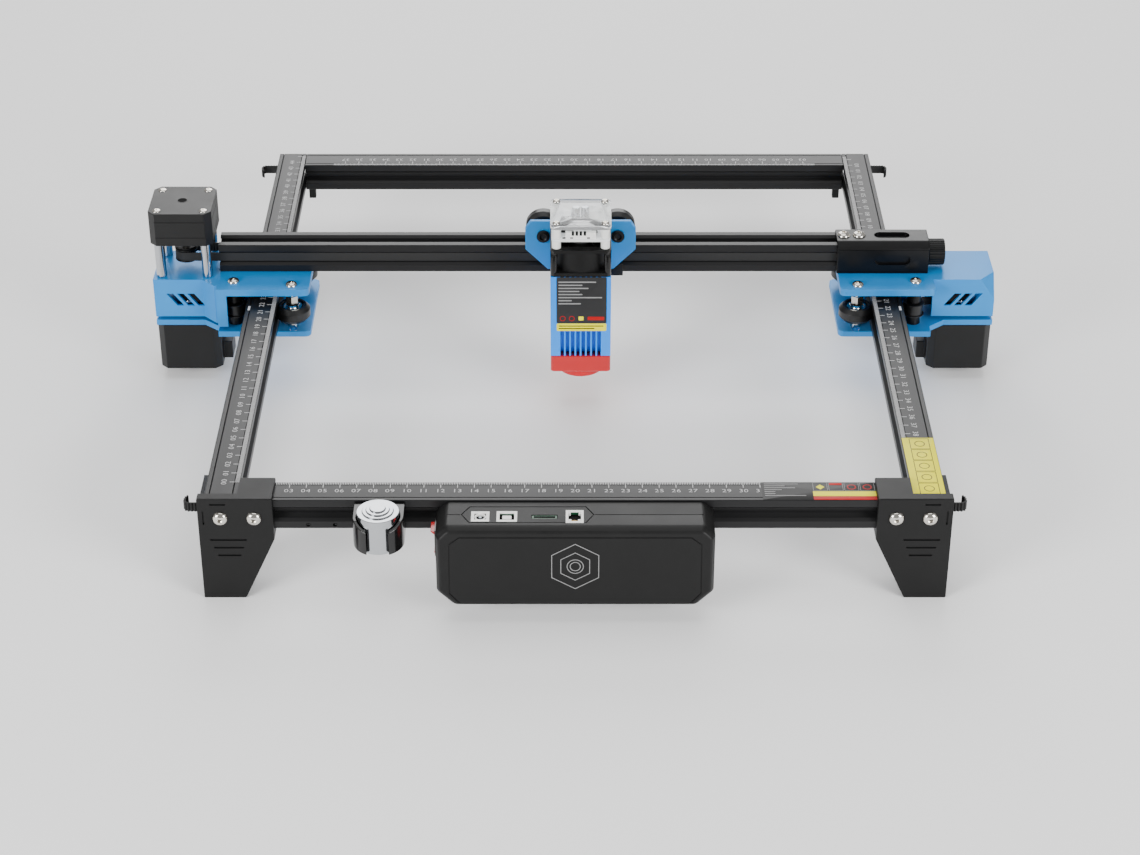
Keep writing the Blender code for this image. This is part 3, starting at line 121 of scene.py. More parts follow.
finish = {
    "profileX": anodisedProfile("blackAnodisedExtrusionX", (0.03, 1, 1)),
    "profileY": anodisedProfile("blackAnodisedExtrusionY", (1, 0.03, 1)),
    # machined and anodised black: finer and a little glossier than the extrusion
    "anodised": surface("blackAnodisedMachined", "080809", "101011", (0.26, 0.36), 0.25, 6, 0.35, 0.004,
                        Specular_IOR_Level=0.35),
    # moulded ABS with a spark-eroded texture: matt, with a faint broad highlight
    "abs": surface("mouldedBlackAbs", "0c0c0c", "131313", (0.4, 0.5), 0, 15, 0.5, 0.02,
                   Specular_IOR_Level=0.25),
    "absGloss": surface("mouldedBlackAbsGloss", "0c0c0c", "121212", (0.14, 0.2), 0, 12, 0.6, 0.004),
    # powder coated sheet steel: satin, with the slight orange peel of the coating
    "bluePlate": surface("bluePowderCoat", "1580c8", "1d89d0", (0.34, 0.44), 0.15, 14, 1.1, 0.02),
    # clear anodised blue aluminium: brighter, with a metal glint
    "blueFins": surface("blueAnodisedHeatsink", "0a8dfa", "1596ff", (0.28, 0.36), 0.2, 8, 0.5, 0.006),
    "motor": surface("paintedMotorSteel", "0b0b0b", "131313", (0.34, 0.46), 0.2, 10, 0.5, 0.012,
                     Specular_IOR_Level=0.4),
    # nickel plated steel: mirror-like, slightly warm
    "steel": surface("nickelPlatedSteel", "dedad2", "cdc9c1", (0.07, 0.14), 1.0, 5, 0.4, 0.002),
    # polished aluminium: cool and bright, faint tool lines
    "turned": surface("turnedAluminium", "c2c4c7", "aeb1b5", (0.06, 0.12), 1.0, 4, 0.3, 0.003, (1, 1, 12)),
    "rubber": surface("blackNeopreneBelt", "101010", "191919", (0.6, 0.75), 0, 4, 0.3, 0.02),
    # polyoxymethylene wheels: smooth, waxy black
    "wheel": surface("blackAcetal", "0d0d0e", "151516", (0.3, 0.4), 0, 6, 0.6, 0.006),
    "red": surface("redAcrylic", "b4060e", "c00c14", (0.16, 0.24), 0, 10, 1.0, 0.004, Coat_Weight=0.3),
    "redClear": surface("redClearAcrylic", "e00f1c", "ea1826", (0.06, 0.12), 0, 10, 1.0, 0.003,
                        Transmission_Weight=0.5, IOR=1.49),
    "clear": surface("clearAcrylic", "ffffff", "f8fcff", (0.02, 0.05), 0, 10, 1.5, 0.002,
                     Transmission_Weight=0.96, IOR=1.3),
    "nylon": surface("whiteNylon", "f2f2ee", "e9e9e6", (0.35, 0.45), 0, 5, 0.6, 0.01),
    "board": surface("whiteSolderMask", "eff1f1", "e4e7e8", (0.3, 0.42), 0, 3, 0.5, 0.006),
    "boardGreen": surface("greenSolderMask", "14402a", "1a4d31", (0.3, 0.42), 0, 3, 0.5, 0.006),
    "brass": surface("turnedBrass", "c9a34b", "b8923e", (0.2, 0.3), 1.0, 4, 0.3, 0.003, (1, 1, 10)),
    "glass": surface("coatedLensGlass", "cfe4ff", "bcd6ff", (0.02, 0.04), 0, 6, 1.0, 0.001,
                     Transmission_Weight=0.9, IOR=1.6),
    # silk-screen ink on the anodised scale
    "ink": surface("whiteScreenInk", "d6d6d6", "c8c8c8", (0.5, 0.6), 0, 2, 0.3, 0.004),
    "inkGrey": surface("greyScreenInk", "8e8e8e", "808080", (0.5, 0.6), 0, 2, 0.3, 0.004),
    "tin": surface("brushedTinCan", "9aa0a4", "878d92", (0.25, 0.35), 0.9, 3, 0.3, 0.003, (1, 12, 1)),
    # printed vinyl stickers: smooth film with a weak gloss
    "vinylBlack": surface("blackVinyl", "060606", "0b0b0b", (0.34, 0.42), 0, 12, 0.8, 0.004,
                          Specular_IOR_Level=0.25),
    "vinylGrey": surface("greyVinyl", "232324", "2a2a2b", (0.4, 0.5), 0, 12, 0.8, 0.004,
                         Specular_IOR_Level=0.3),
    "vinylYellow": surface("yellowVinyl", "f4ec00", "eae200", (0.4, 0.5), 0, 12, 0.8, 0.004,
                           Specular_IOR_Level=0.2),
    "vinylRed": surface("redVinyl", "b80a10", "a8080d", (0.4, 0.5), 0, 12, 0.8, 0.004,
                        Specular_IOR_Level=0.2),
    # near-black matt surface laid into openings and holes as painted shade
    "shadow": surface("paintedShadeRecess", "030303", "070707", (0.7, 0.8), 0, 5, 0.5, 0.004,
                      Specular_IOR_Level=0.1),
}
print("materials made:", len(finish))


# meshes
def settle(mesh, name, key, body, replaced=(), sharp=34):
    # doubles merged, faces turned outwards, smooth within the sharp angle, then tied to its body
    bm = bmesh.new()
    bm.from_mesh(mesh)
    bmesh.ops.remove_doubles(bm, verts=bm.verts, dist=1e-6)
    bmesh.ops.recalc_face_normals(bm, faces=bm.faces)
    bm.to_mesh(mesh)
    bm.free()
    mesh.shade_smooth()
    mesh.set_sharp_from_angle(angle=math.radians(sharp))
    mesh.materials.append(finish[key])
    piece = bpy.data.objects.new(name, mesh)
    bpy.context.scene.collection.objects.link(piece)
    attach(piece, body)
    if replaced:
        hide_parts(*replaced)
    return piece


def gridFaces(rows, columns, closed):
    # four neighbours make a face; closed says whether rows and columns run back into their first
    index = np.arange(rows * columns).reshape(rows, columns)
    if closed[0]:
        index = np.vstack([index, index[:1]])
    if closed[1]:
        index = np.hstack([index, index[:, :1]])
    return np.stack([index[:-1, :-1], index[1:, :-1], index[1:, 1:], index[:-1, 1:]], -1).reshape(-1, 4)


def piece(name, shells, key, body, replaced=(), sharp=34):
    return settle(shellMesh(name, shells), name, key, body, replaced, sharp)


def turned(axis, a, b, t):
    # a and b lie across the axis, t along it
    order = {"X": (t, a, b), "Y": (a, t, b), "Z": (a, b, t)}[axis]
    return np.stack(np.broadcast_arrays(*order), -1)


def eased(profile, width):
    # each inner corner of a profile gives way to two points, width before and after it
    profile = np.array(profile, float)
    before, here, after = profile[:-2], profile[1:-1], profile[2:]

    def towards(other):
        step = other - here
        length = np.linalg.norm(step, axis=1, keepdims=True)
        return here + step / np.maximum(length, 1e-9) * np.minimum(width, 0.4 * length)

    middle = np.stack([towards(before), towards(after)], 1).reshape(-1, 2)
    return np.vstack([profile[:1], middle, profile[-1:]])


def disc(radius, low, high):
    return [(0, low), (radius, low), (radius, high), (0, high)]


def tube(outer, inner, low, high):
    return [(outer, low), (outer, high), (inner, high), (inner, low)]


def revolve(profile, centre, axis="Z", steps=48, ease=0.2 * mm, ripple=None):
    # radius and height pairs carried round an axis: a = r cos(angle), b = r sin(angle), t = height;
    # ripple scales the radius by the angle
    pairs = eased(profile, ease)
    angle = np.linspace(0, turn, steps, endpoint=False)
    radius = pairs[:, :1] * (1 if ripple is None else ripple(angle))
    grid = turned(axis, radius * np.cos(angle), radius * np.sin(angle), pairs[:, 1:])
    return grid + np.array(centre, float), (False, True)


def ring(profile, centre, axis="Z", steps=48):
    # a closed section carried round an axis, so the shape has a hole
    grid, _ = revolve(list(profile) + [profile[0]], centre, axis, steps, 0)
    return grid[:-1], (True, True)


def roundedOutline(halfA, halfB, radius, perCorner):
    # four quarter circles, each on an inner corner of the rectangle
    angle = (np.arange(4)[:, None] * np.pi / 2 + np.linspace(0, np.pi / 2, perCorner)).ravel()
    signA, signB = np.repeat([1, -1, -1, 1], perCorner), np.repeat([1, 1, -1, -1], perCorner)
    return (signA * (halfA - radius) + radius * np.cos(angle),
            signB * (halfB - radius) + radius * np.sin(angle))


def block(low, high, corner, edge=0.3 * mm, axis="Z", perCorner=5):
    # rounded rectangle carried along the axis, drawn in by a quarter circle at both ends
    low, high = np.array(low, float), np.array(high, float)
    pick = {"X": (1, 2, 0), "Y": (0, 2, 1), "Z": (0, 1, 2)}[axis]
    (midA, midB, midT), (halfA, halfB,
                         halfT) = ((low + high) / 2)[list(pick)], ((high - low) / 2)[list(pick)]
    edge = min(edge, 0.45 * halfT * 2, 0.9 * corner)
    bend = np.linspace(0, np.pi / 2, 3)
    inset = edge * np.concatenate([1 - np.sin(bend), (1 - np.sin(bend))[::-1]])
    level = np.concatenate([edge * (1 - np.cos(bend)) - halfT, (halfT - edge * (1 - np.cos(bend)))[::-1]])
    rows = [np.stack(roundedOutline(halfA - d, halfB - d, corner - d, perCorner)) for d in inset]
    rows = np.array([0 * rows[0]] + rows + [0 * rows[0]])
    level = np.concatenate([[-halfT], level, [halfT]])[:, None]
    return turned(axis, midA + rows[:, 0], midB + rows[:, 1], midT + level), (False, True)


def heads(places, axis, radius, height, socket, way=1):
    # button heads: an elliptic dome whose flat top sinks into a hexagon; way is the side they look to
    angle = np.linspace(0, turn, 36, endpoint=False)
    hexagon = socket / 2 / np.cos((angle + np.pi / 6) % (np.pi / 3) - np.pi / 6)
    bend = np.linspace(0, 0.42 * np.pi, 6)[:, None]
    dome = radius * np.cos(bend) ** 0.8 + 0 * angle
    rows = np.vstack([0 * angle[None], [radius + 0 * angle], dome, [hexagon * 1.06], [hexagon],
                      0 * angle[None]])
    low = -0.3 * mm
    level = np.vstack([[[low]], [[low]], height * np.sin(bend) / np.sin(bend[-1]),
                       [[height]], [[height * 0.35]], [[height * 0.3]]])
    head = turned(axis, rows * np.cos(angle), rows * np.sin(angle), way * level)
    return [(head + np.array(place, float), (False, True)) for place in places]


def merged(node):
    bm = bmesh.new()
    bm.from_mesh(nodes[node].data)
    bmesh.ops.remove_doubles(bm, verts=bm.verts, dist=2e-6)
    bmesh.ops.dissolve_limit(bm, angle_limit=math.radians(0.8), verts=bm.verts, edges=bm.edges)
    mesh = bpy.data.meshes.new(node)
    bm.to_mesh(mesh)
    bm.free()
    return mesh


def outerEdges(mesh):
    # an edge is an outer one when no point of the mesh lies beyond the plane through its middle that is
    # square to the sum of its two face normals; flat edges have a sum longer than 1.94
    count = len(mesh.edges)
    points = np.empty(len(mesh.vertices) * 3)
    mesh.vertices.foreach_get("co", points)
    points = points.reshape(-1, 3)
    ends = np.empty(count * 2, int)
    mesh.edges.foreach_get("vertices", ends)
    middles = points[ends.reshape(-1, 2)].mean(1)
    loopEdge = np.empty(len(mesh.loops), int)
    mesh.loops.foreach_get("edge_index", loopEdge)
    totals = np.empty(len(mesh.polygons), int)
    mesh.polygons.foreach_get("loop_total", totals)
    normals = np.empty(len(mesh.polygons) * 3)
    mesh.polygons.foreach_get("normal", normals)
    summed = np.zeros((count, 3))
    np.add.at(summed, loopEdge, np.repeat(normals.reshape(-1, 3), totals, 0))
    beyond = (points @ summed.T).max(0) - (middles * summed).sum(1)
    return (beyond < 1e-5) & (np.linalg.norm(summed, axis=1) < 1.94) & (summed[:, 1] < 0.9)


def shaped(name, mesh, width, cutters, steps, outer):
    # edges rounded first, then recesses cut in, so that the recesses stay crisp
    blank = bpy.data.objects.new(name + "Blank", mesh)
    bpy.context.scene.collection.objects.link(blank)
    helpers = [blank]
    edges = blank.modifiers.new("edges", "BEVEL")
    edges.width, edges.segments, edges.limit_method = width, steps, "ANGLE"
    edges.angle_limit = math.radians(28)
    if outer:
        edges.limit_method = "WEIGHT"
        weight = mesh.attributes.new("bevel_weight_edge", "FLOAT", "EDGE")
        weight.data.foreach_set("value", outerEdges(mesh).astype(np.float32))
    if cutters:
        tool = bpy.data.objects.new(name + "Tool", shellMesh(name + "Tool", cutters))
        bpy.context.scene.collection.objects.link(tool)
        helpers.append(tool)
        cut = blank.modifiers.new("recess", "BOOLEAN")
        cut.operation, cut.solver, cut.object = "DIFFERENCE", "EXACT", tool
    made = bpy.data.meshes.new_from_object(blank.evaluated_get(bpy.context.evaluated_depsgraph_get()))
    for helper in helpers:
        bpy.data.objects.remove(helper)
    made.materials.clear()
    return made


def refined(node, key, width, cutters=(), steps=2, outer=False):
    # the node's own shape with rounded edges and recesses
    mesh = shaped(node, merged(node), width, cutters, steps, outer)
    mesh.name = node
    made = settle(mesh, node + "_finished", key, nodes[node]["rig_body"], (node,), 30)
    made.modifiers.new("normals", "WEIGHTED_NORMAL").keep_sharp = True
    return made


def shellMesh(name, shells):
    points, faces, count = [], [], 0
    for grid, closed in shells:
        faces.append(gridFaces(*grid.shape[:2], closed) + count)
        points.append(grid.reshape(-1, 3))
        count += len(points[-1])
    mesh = bpy.data.meshes.new(name)
    mesh.from_pydata(np.vstack(points).tolist(), [], np.vstack(faces).tolist())
    bm = bmesh.new()
    bm.from_mesh(mesh)
    bmesh.ops.remove_doubles(bm, verts=bm.verts, dist=1e-6)
    bmesh.ops.recalc_face_normals(bm, faces=bm.faces)
    bm.to_mesh(mesh)
    bm.free()
    return mesh


def outlineSolid(points, axis, low, high):
    # a closed outline carried along the axis, both ends closed to their middle
    loop = np.array(points, float)
    centre = loop.mean(0) + 0 * loop
    rows = [turned(axis, line[:, 0], line[:, 1], level + 0 * loop[:, 0])
            for line, level in ((centre, low), (loop, low), (loop, high), (centre, high))]
    return np.array(rows), (False, True)


def middle(node):
    low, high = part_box(node)
    return (low + high) / 2


def offsetLoop(points, distance):
    # every side of a closed outline moves inwards by the distance; corners stay mitred
    points = np.array(points, float)
    ahead = np.roll(points, -1, 0) - points
    ahead /= np.linalg.norm(ahead, axis=1, keepdims=True)
    back = np.roll(ahead, 1, 0)
    normal = np.stack([-ahead[:, 1], ahead[:, 0]], -1)
    normalBack = np.stack([-back[:, 1], back[:, 0]], -1)
    mitre = normal + normalBack
    mitre /= (mitre * normal).sum(1, keepdims=True)
    return points + distance * mitre


def outlineRing(points, width, axis, low, high):
    # a rectangular section carried along a closed outline
    outer, inner = np.array(points, float), offsetLoop(points, width)
    rows = [turned(axis, loop[:, 0], loop[:, 1], level + 0 * loop[:, 0])
            for loop, level in ((outer, low), (outer, high), (inner, high), (inner, low))]
    return np.array(rows), (True, True)


# rails with their printed scales
railSpec = {"edge": 0.18 * mm, "holeX": (-158.4 * mm, -142.5 * mm), "holeRadius": 1.3 * mm,
            "holeRise": 2.6 * mm}


def makeRails():
    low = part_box("front_rail")[0]
    holes = [revolve(disc(railSpec["holeRadius"], -1 * mm, 1.2 * mm),
                     (x, low.y, low.z + railSpec["holeRise"]), "Y", 20, 0) for x in railSpec["holeX"]]
    refined("front_rail", "profileX", railSpec["edge"], holes)
    refined("rear_rail", "profileX", railSpec["edge"])
    refined("x_beam", "profileX", railSpec["edge"])
    refined("left_rail", "profileY", railSpec["edge"])
    refined("right_rail", "profileY", railSpec["edge"])


scaleSpec = {"short": 2.9 * mm, "long": 6.2 * mm, "line": 0.36 * mm, "inset": 0.25 * mm,
             "digitMiddle": 9.6 * mm, "digitHeight": 3.3 * mm, "digitStep": 1.5 * mm, "ink": 0.05 * mm}


def digitShapes():
    # each digit's solid outline as points and triangles, centred, with a height of one
    shapes = []
    for digit in "0123456789":
        curve = bpy.data.curves.new("digit", "FONT")
        curve.body, curve.align_x, curve.align_y = digit, "CENTER", "CENTER"
        curve.extrude, curve.resolution_u, curve.offset = 0.5, 2, -0.014
        thing = bpy.data.objects.new("digit", curve)
        bpy.context.scene.collection.objects.link(thing)
        mesh = bpy.data.meshes.new_from_object(thing.evaluated_get(bpy.context.evaluated_depsgraph_get()))
        mesh.calc_loop_triangles()
        points = np.empty(len(mesh.vertices) * 3, np.float32)
        mesh.vertices.foreach_get("co", points)
        corners = np.empty(len(mesh.loop_triangles) * 3, np.int32)
        mesh.loop_triangles.foreach_get("vertices", corners)
        points = points.reshape(-1, 3)
        span = points.max(0) - points.min(0)
        centre = (points.max(0) + points.min(0)) / 2
        shapes.append(((points - centre) / [span[1], span[1], 1], corners.reshape(-1, 3)))
        bpy.data.objects.remove(thing)
    return shapes


def printScale(name, zero, along, outward, up, ticks, numbers, shapes):
    # ticks every millimetre and a two-digit number every centimetre, laid out from zero along the rail;
    # a tick is a bar from the inner edge outwards, and every digit is turned to stand on its own up
    spec = scaleSpec
    along, outward, up = (np.array(v + (0,), float) for v in (along, outward, up))
    lift = np.array([0, 0, 1.0])
    zero = np.array(zero, float)
    step = np.arange(ticks[0], ticks[1] + 1)
    reach = np.where(step % 10 == 0, spec["long"], spec["short"])
    cornerAlong = np.array([-1, 1, 1, -1] * 2) * spec["line"] / 2
    cornerOut = np.array([0, 0, 1, 1] * 2)
    cornerLift = np.repeat([0.2, 1], 4) * spec["ink"]
    points = (zero + (step[:, None] * mm + cornerAlong)[..., None] * along
              + (spec["inset"] + (reach[:, None] - spec["inset"]) * cornerOut)[..., None] * outward
              + cornerLift[:, None] * lift)
    cube = np.array([(0, 1, 2, 3), (4, 5, 6, 7), (0, 1, 5, 4), (1, 2, 6, 5), (2, 3, 7, 6), (3, 0, 4, 7)])
    faces = (np.arange(len(step))[:, None, None] * 8 + cube).reshape(-1, 4).tolist()
    points = points.reshape(-1, 3)
    allPoints, count = [points], len(points)
    right = np.cross(up, lift)
    for number in range(numbers[0], numbers[1] + 1):
        for place, digit in enumerate((number // 10, number % 10)):
            shape, corners = shapes[digit]
            middleAt = zero + number * 10 * mm * along + spec["digitMiddle"] * outward
            middleAt = middleAt + (place * 2 - 1) * spec["digitStep"] * right
            size = spec["digitHeight"]
            allPoints.append(middleAt + shape[:, :1] * size * 1.18 * right + shape[:, 1:2] * size * up
                             + (0.6 + 0.8 * shape[:, 2:]) * spec["ink"] * lift)
            faces += (corners + count).tolist()
            count += len(shape)
    mesh = bpy.data.meshes.new(name)
    mesh.from_pydata(np.vstack(allPoints).tolist(), [], faces)
    settle(mesh, name, "ink", "frame", (), 20)


def makeScales():
    shapes = digitShapes()
    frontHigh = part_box("front_rail")[1]
    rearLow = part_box("rear_rail")[0]
    leftHigh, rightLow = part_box("left_rail")[1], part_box("right_rail")[0]
    top = frontHigh.z
    start = round(leftHigh.x, 4)
    printScale("front_scale", (start, frontHigh.y, top), (1, 0), (0, -1), (0, 1), (22, 311), (3, 31),
               shapes)
    printScale("rear_scale", (-start, rearLow.y, top), (-1, 0), (0, 1), (0, -1), (22, 378), (3, 37), shapes)
    printScale("left_scale", (leftHigh.x, frontHigh.y, top), (0, 1), (-1, 0), (-1, 0), (0, 450), (0, 44),
               shapes)
    printScale("right_scale", (rightLow.x, rearLow.y, top), (0, -1), (1, 0), (1, 0), (-14, 385), (0, 38),
               shapes)


# moulded corners and their screws
cornerSpec = {"edge": 0.7 * mm, "screwX": (210 * mm, 190 * mm), "screwZ": 57.2 * mm,
              "screwRadius": 4.6 * mm,
              "screwHeight": 2.6 * mm, "socket": 2.9 * mm, "bars": ((42, 22), (36.5, 18), (31, 14)),
              "deep": 1.0 * mm}


def makeCorners():
    spec = cornerSpec
    screws = []
    for word, side in (("left", -1), ("right", 1)):
        for place, end in (("front", -1), ("rear", 1)):
            node = f"{place}_{word}_corner"
            low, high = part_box(node)
            face = low.y if end < 0 else high.y
            inner = face - end * spec["deep"]
            near, far = min(face + end * mm, inner), max(face + end * mm, inner)

            def slot(x, z, halfX, halfZ):
                return block((side * x - halfX, near, z - halfZ), (side * x + halfX, far, z + halfZ),
                             min(halfX, halfZ) * 0.9, 0.05 * mm, "Y", 3)

            cutters = [slot(211 * mm, 66.9 * mm, 4.8 * mm, 0.55 * mm),
                       slot(220 * mm, 57.6 * mm, 0.55 * mm, 4.8 * mm)]
            cutters += [slot(206 * mm, z * mm, wide / 2 * mm, 0.6 * mm) for z, wide in spec["bars"]]
            if end > 0:
                cutters.append(block((side * 197 * mm - 2.5 * mm, inner - 6 * mm, 33 * mm),
                                     (side * 197 * mm + 2.5 * mm, far, 43 * mm), 0.4 * mm, 0.05 * mm, "Y",
                                     3))
            refined(node, "abs", spec["edge"], cutters, 2, True)
            screws += heads([(side * x, face, spec["screwZ"]) for x in spec["screwX"]], "Y",
                            spec["screwRadius"], spec["screwHeight"], spec["socket"], end)
    piece("corner_screws", screws, "steel", "frame")
    pads = []
    for node in ("front_left_corner", "front_right_corner", "rear_left_corner", "rear_right_corner"):
        low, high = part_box(node)
        side, end = math.copysign(1, low.x), math.copysign(1, low.y)
        x, y = side * 211.5 * mm, (low.y if end < 0 else high.y) - end * 12 * mm
        pads.append(block((x - 8 * mm, y - 8 * mm, 0.02 * mm), (x + 8 * mm, y + 8 * mm, 0.9 * mm), 3 * mm,
                          0.3 * mm))
    piece("foot_pads", pads, "rubber", "frame")


# belts: a section with teeth on its inner side, carried along a path
beltSpec = {"width": 6 * mm, "back": 0.75 * mm, "tooth": 0.65 * mm, "pitch": 2 * mm, "perTooth": 6}


def alongPath(path, closed):
    # the path read again at even steps, several for each tooth
    path = np.array(path, float)
    if closed:
        path = np.vstack([path, path[:1]])
    lengths = np.linalg.norm(np.diff(path, axis=0), axis=1)
    place = np.concatenate([[0], np.cumsum(lengths)])
    teeth = int(place[-1] / beltSpec["pitch"])
    count = teeth * beltSpec["perTooth"]
    at = np.linspace(0, place[-1], count, endpoint=not closed)
    return np.stack([np.interp(at, place, path[:, k]) for k in (0, 1)], -1), at


def belt(name, path, height, closed, inward, body, replaced):
    # rows are the four corners of the section: smooth back on one side, teeth on the other
    spec = beltSpec
    line, at = alongPath(path, closed)
    ahead = np.roll(line, -1, 0) - np.roll(line, 1, 0)
    if not closed:
        ahead[0], ahead[-1] = line[1] - line[0], line[-1] - line[-2]
    ahead /= np.linalg.norm(ahead, axis=1, keepdims=True)
    normal = inward * np.stack([-ahead[:, 1], ahead[:, 0]], -1)
    wave = np.clip(1.6 * np.cos(at / spec["pitch"] * turn), -1, 1) * 0.5 + 0.5
    toothed = line + normal * (spec["tooth"] * wave - 0.05 * mm)[:, None]
    smooth = line - normal * (spec["back"] - 0.1 * mm)
    half = spec["width"] / 2
    rows = [np.column_stack([side, height + 0 * at + rise])
            for side, rise in ((smooth, -half), (smooth, half), (toothed, half), (toothed, -half))]
    grid = np.array(rows).transpose(1, 0, 2)
    if not closed:
        ends = [np.repeat(grid[k].mean(0)[None], 4, 0)[None] for k in (0, -1)]
        grid = np.concatenate([ends[0], grid, ends[1]])
    piece(name, [(grid, (closed, True))], "rubber", body, replaced, 20)


def arcPoints(centre, radius, start, end, count=24):
    angle = np.linspace(start, end, count)
    return np.stack([centre[0] + radius * np.cos(angle), centre[1] + radius * np.sin(angle)], -1)


def makeBelts():
    for word, side in (("left", -1), ("right", 1)):
        low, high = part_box(word + "_y_belt")
        inner = (high.x if side < 0 else low.x) + side * 0.7 * mm
        outer = (low.x if side < 0 else high.x) - side * 0.4 * mm
        bend = 1.6 * mm
        curl = [(outer - side * 1.4 * mm, low.y + 9 * mm), (outer - side * 0.4 * mm, low.y + 7.5 * mm),
                (outer, low.y + 5.5 * mm),
                (outer, low.y + 3.2 * mm), (outer - side * 0.8 * mm, low.y + 1.6 * mm),
                (outer - side * 2.4 * mm, low.y + 0.75 * mm)]
        front = low.y + 0.75 * mm
        rear = high.y - 0.75 * mm
        path = curl + [(inner + side * bend, front), (inner + side * 0.4 * mm, front + 0.4 * mm),
                       (inner, front + bend),
                       (inner, rear - bend), (inner + side * 0.4 * mm, rear - 0.4 * mm),
                       (inner + side * bend, rear)]
        path += [(x, rear + front - y) for x, y in reversed(curl)]
        belt(word + "_frame_belt", path, (low.z + high.z) / 2, False, side, "frame", (word + "_y_belt",))

        idler, pulley = middle(word + "_front_idler"), middle(word + "_y_pulley")
        centreY = pulley.y
        idlerRadius, pulleyRadius = 7.0 * mm, 7.1 * mm
        gap = np.array([abs(pulley.x - idler.x), centreY - idler.y])
        length = np.hypot(*gap)
        heading = math.atan2(gap[1], gap[0]) - math.asin((idlerRadius + pulleyRadius) / length)
        loopLow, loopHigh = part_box(word + "_belt_loop")
        innerX = (abs(loopHigh.x) if side < 0 else loopLow.x) + 0.8 * mm
        at = np.array([abs(idler.x), idler.y - centreY])
        start = np.array([innerX, loopLow.y - centreY + 0.5 * mm])
        back = start - at
        touch = math.atan2(back[1], back[0]) - math.acos(min(1, idlerRadius / np.hypot(*back)))
        half = np.vstack([start, arcPoints(at, idlerRadius, touch + turn, heading + np.pi / 2, 16)])
        wrap = arcPoints((abs(pulley.x), 0), pulleyRadius, heading - np.pi / 2, np.pi / 2 - heading, 30)
        path = np.vstack([half, wrap, (half * [1, -1])[::-1]])
        path = path * [side, 1] + [0, centreY]
        belt(word + "_loop_belt", path, (loopLow.z + loopHigh.z) / 2, False, side, "gantry",
             (word + "_belt_loop",))

    low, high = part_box("x_belt")
    radius = (high.y - low.y) / 2 - 0.75 * mm
    centreY = (low.y + high.y) / 2
    left, right = low.x + radius + 0.75 * mm, high.x - radius - 0.75 * mm
    path = np.vstack([arcPoints((left, centreY), radius, np.pi / 2, 1.5 * np.pi),
                      arcPoints((right, centreY), radius, -np.pi / 2, np.pi / 2)])
    belt("gantry_belt", path, (low.z + high.z) / 2, True, 1, "gantry", ("x_belt",))


# control box
boxSpec = {"edge": 1.8 * mm, "line": 0.7 * mm, "deep": 0.45 * mm,
           "face": ((-68, 14.2), (68, 14.2), (74.5, 21.6), (74.1, 56.6), (68, 61.6), (-68, 61.6),
                    (-74.1, 56.6), (-74.5, 21.6)),
           "top": ((-62.2, -247), (6.5, -247), (11.2, -238.2), (6.5, -229.5), (-62.2, -229.5),
                   (-67.1, -238.2))}
portSpec = {"power_jack": (-55.6, 10.6, 10.3, 7.0, 7.0), "usb_socket": (-40, 12, 10.8, 8.6, 7.8),
            "card_slot": (-18, 15.4, 4.0, 12.4, 1.8), "cable_socket": (-0.3, 10.4, 13.0, 7.4, 9.0)}


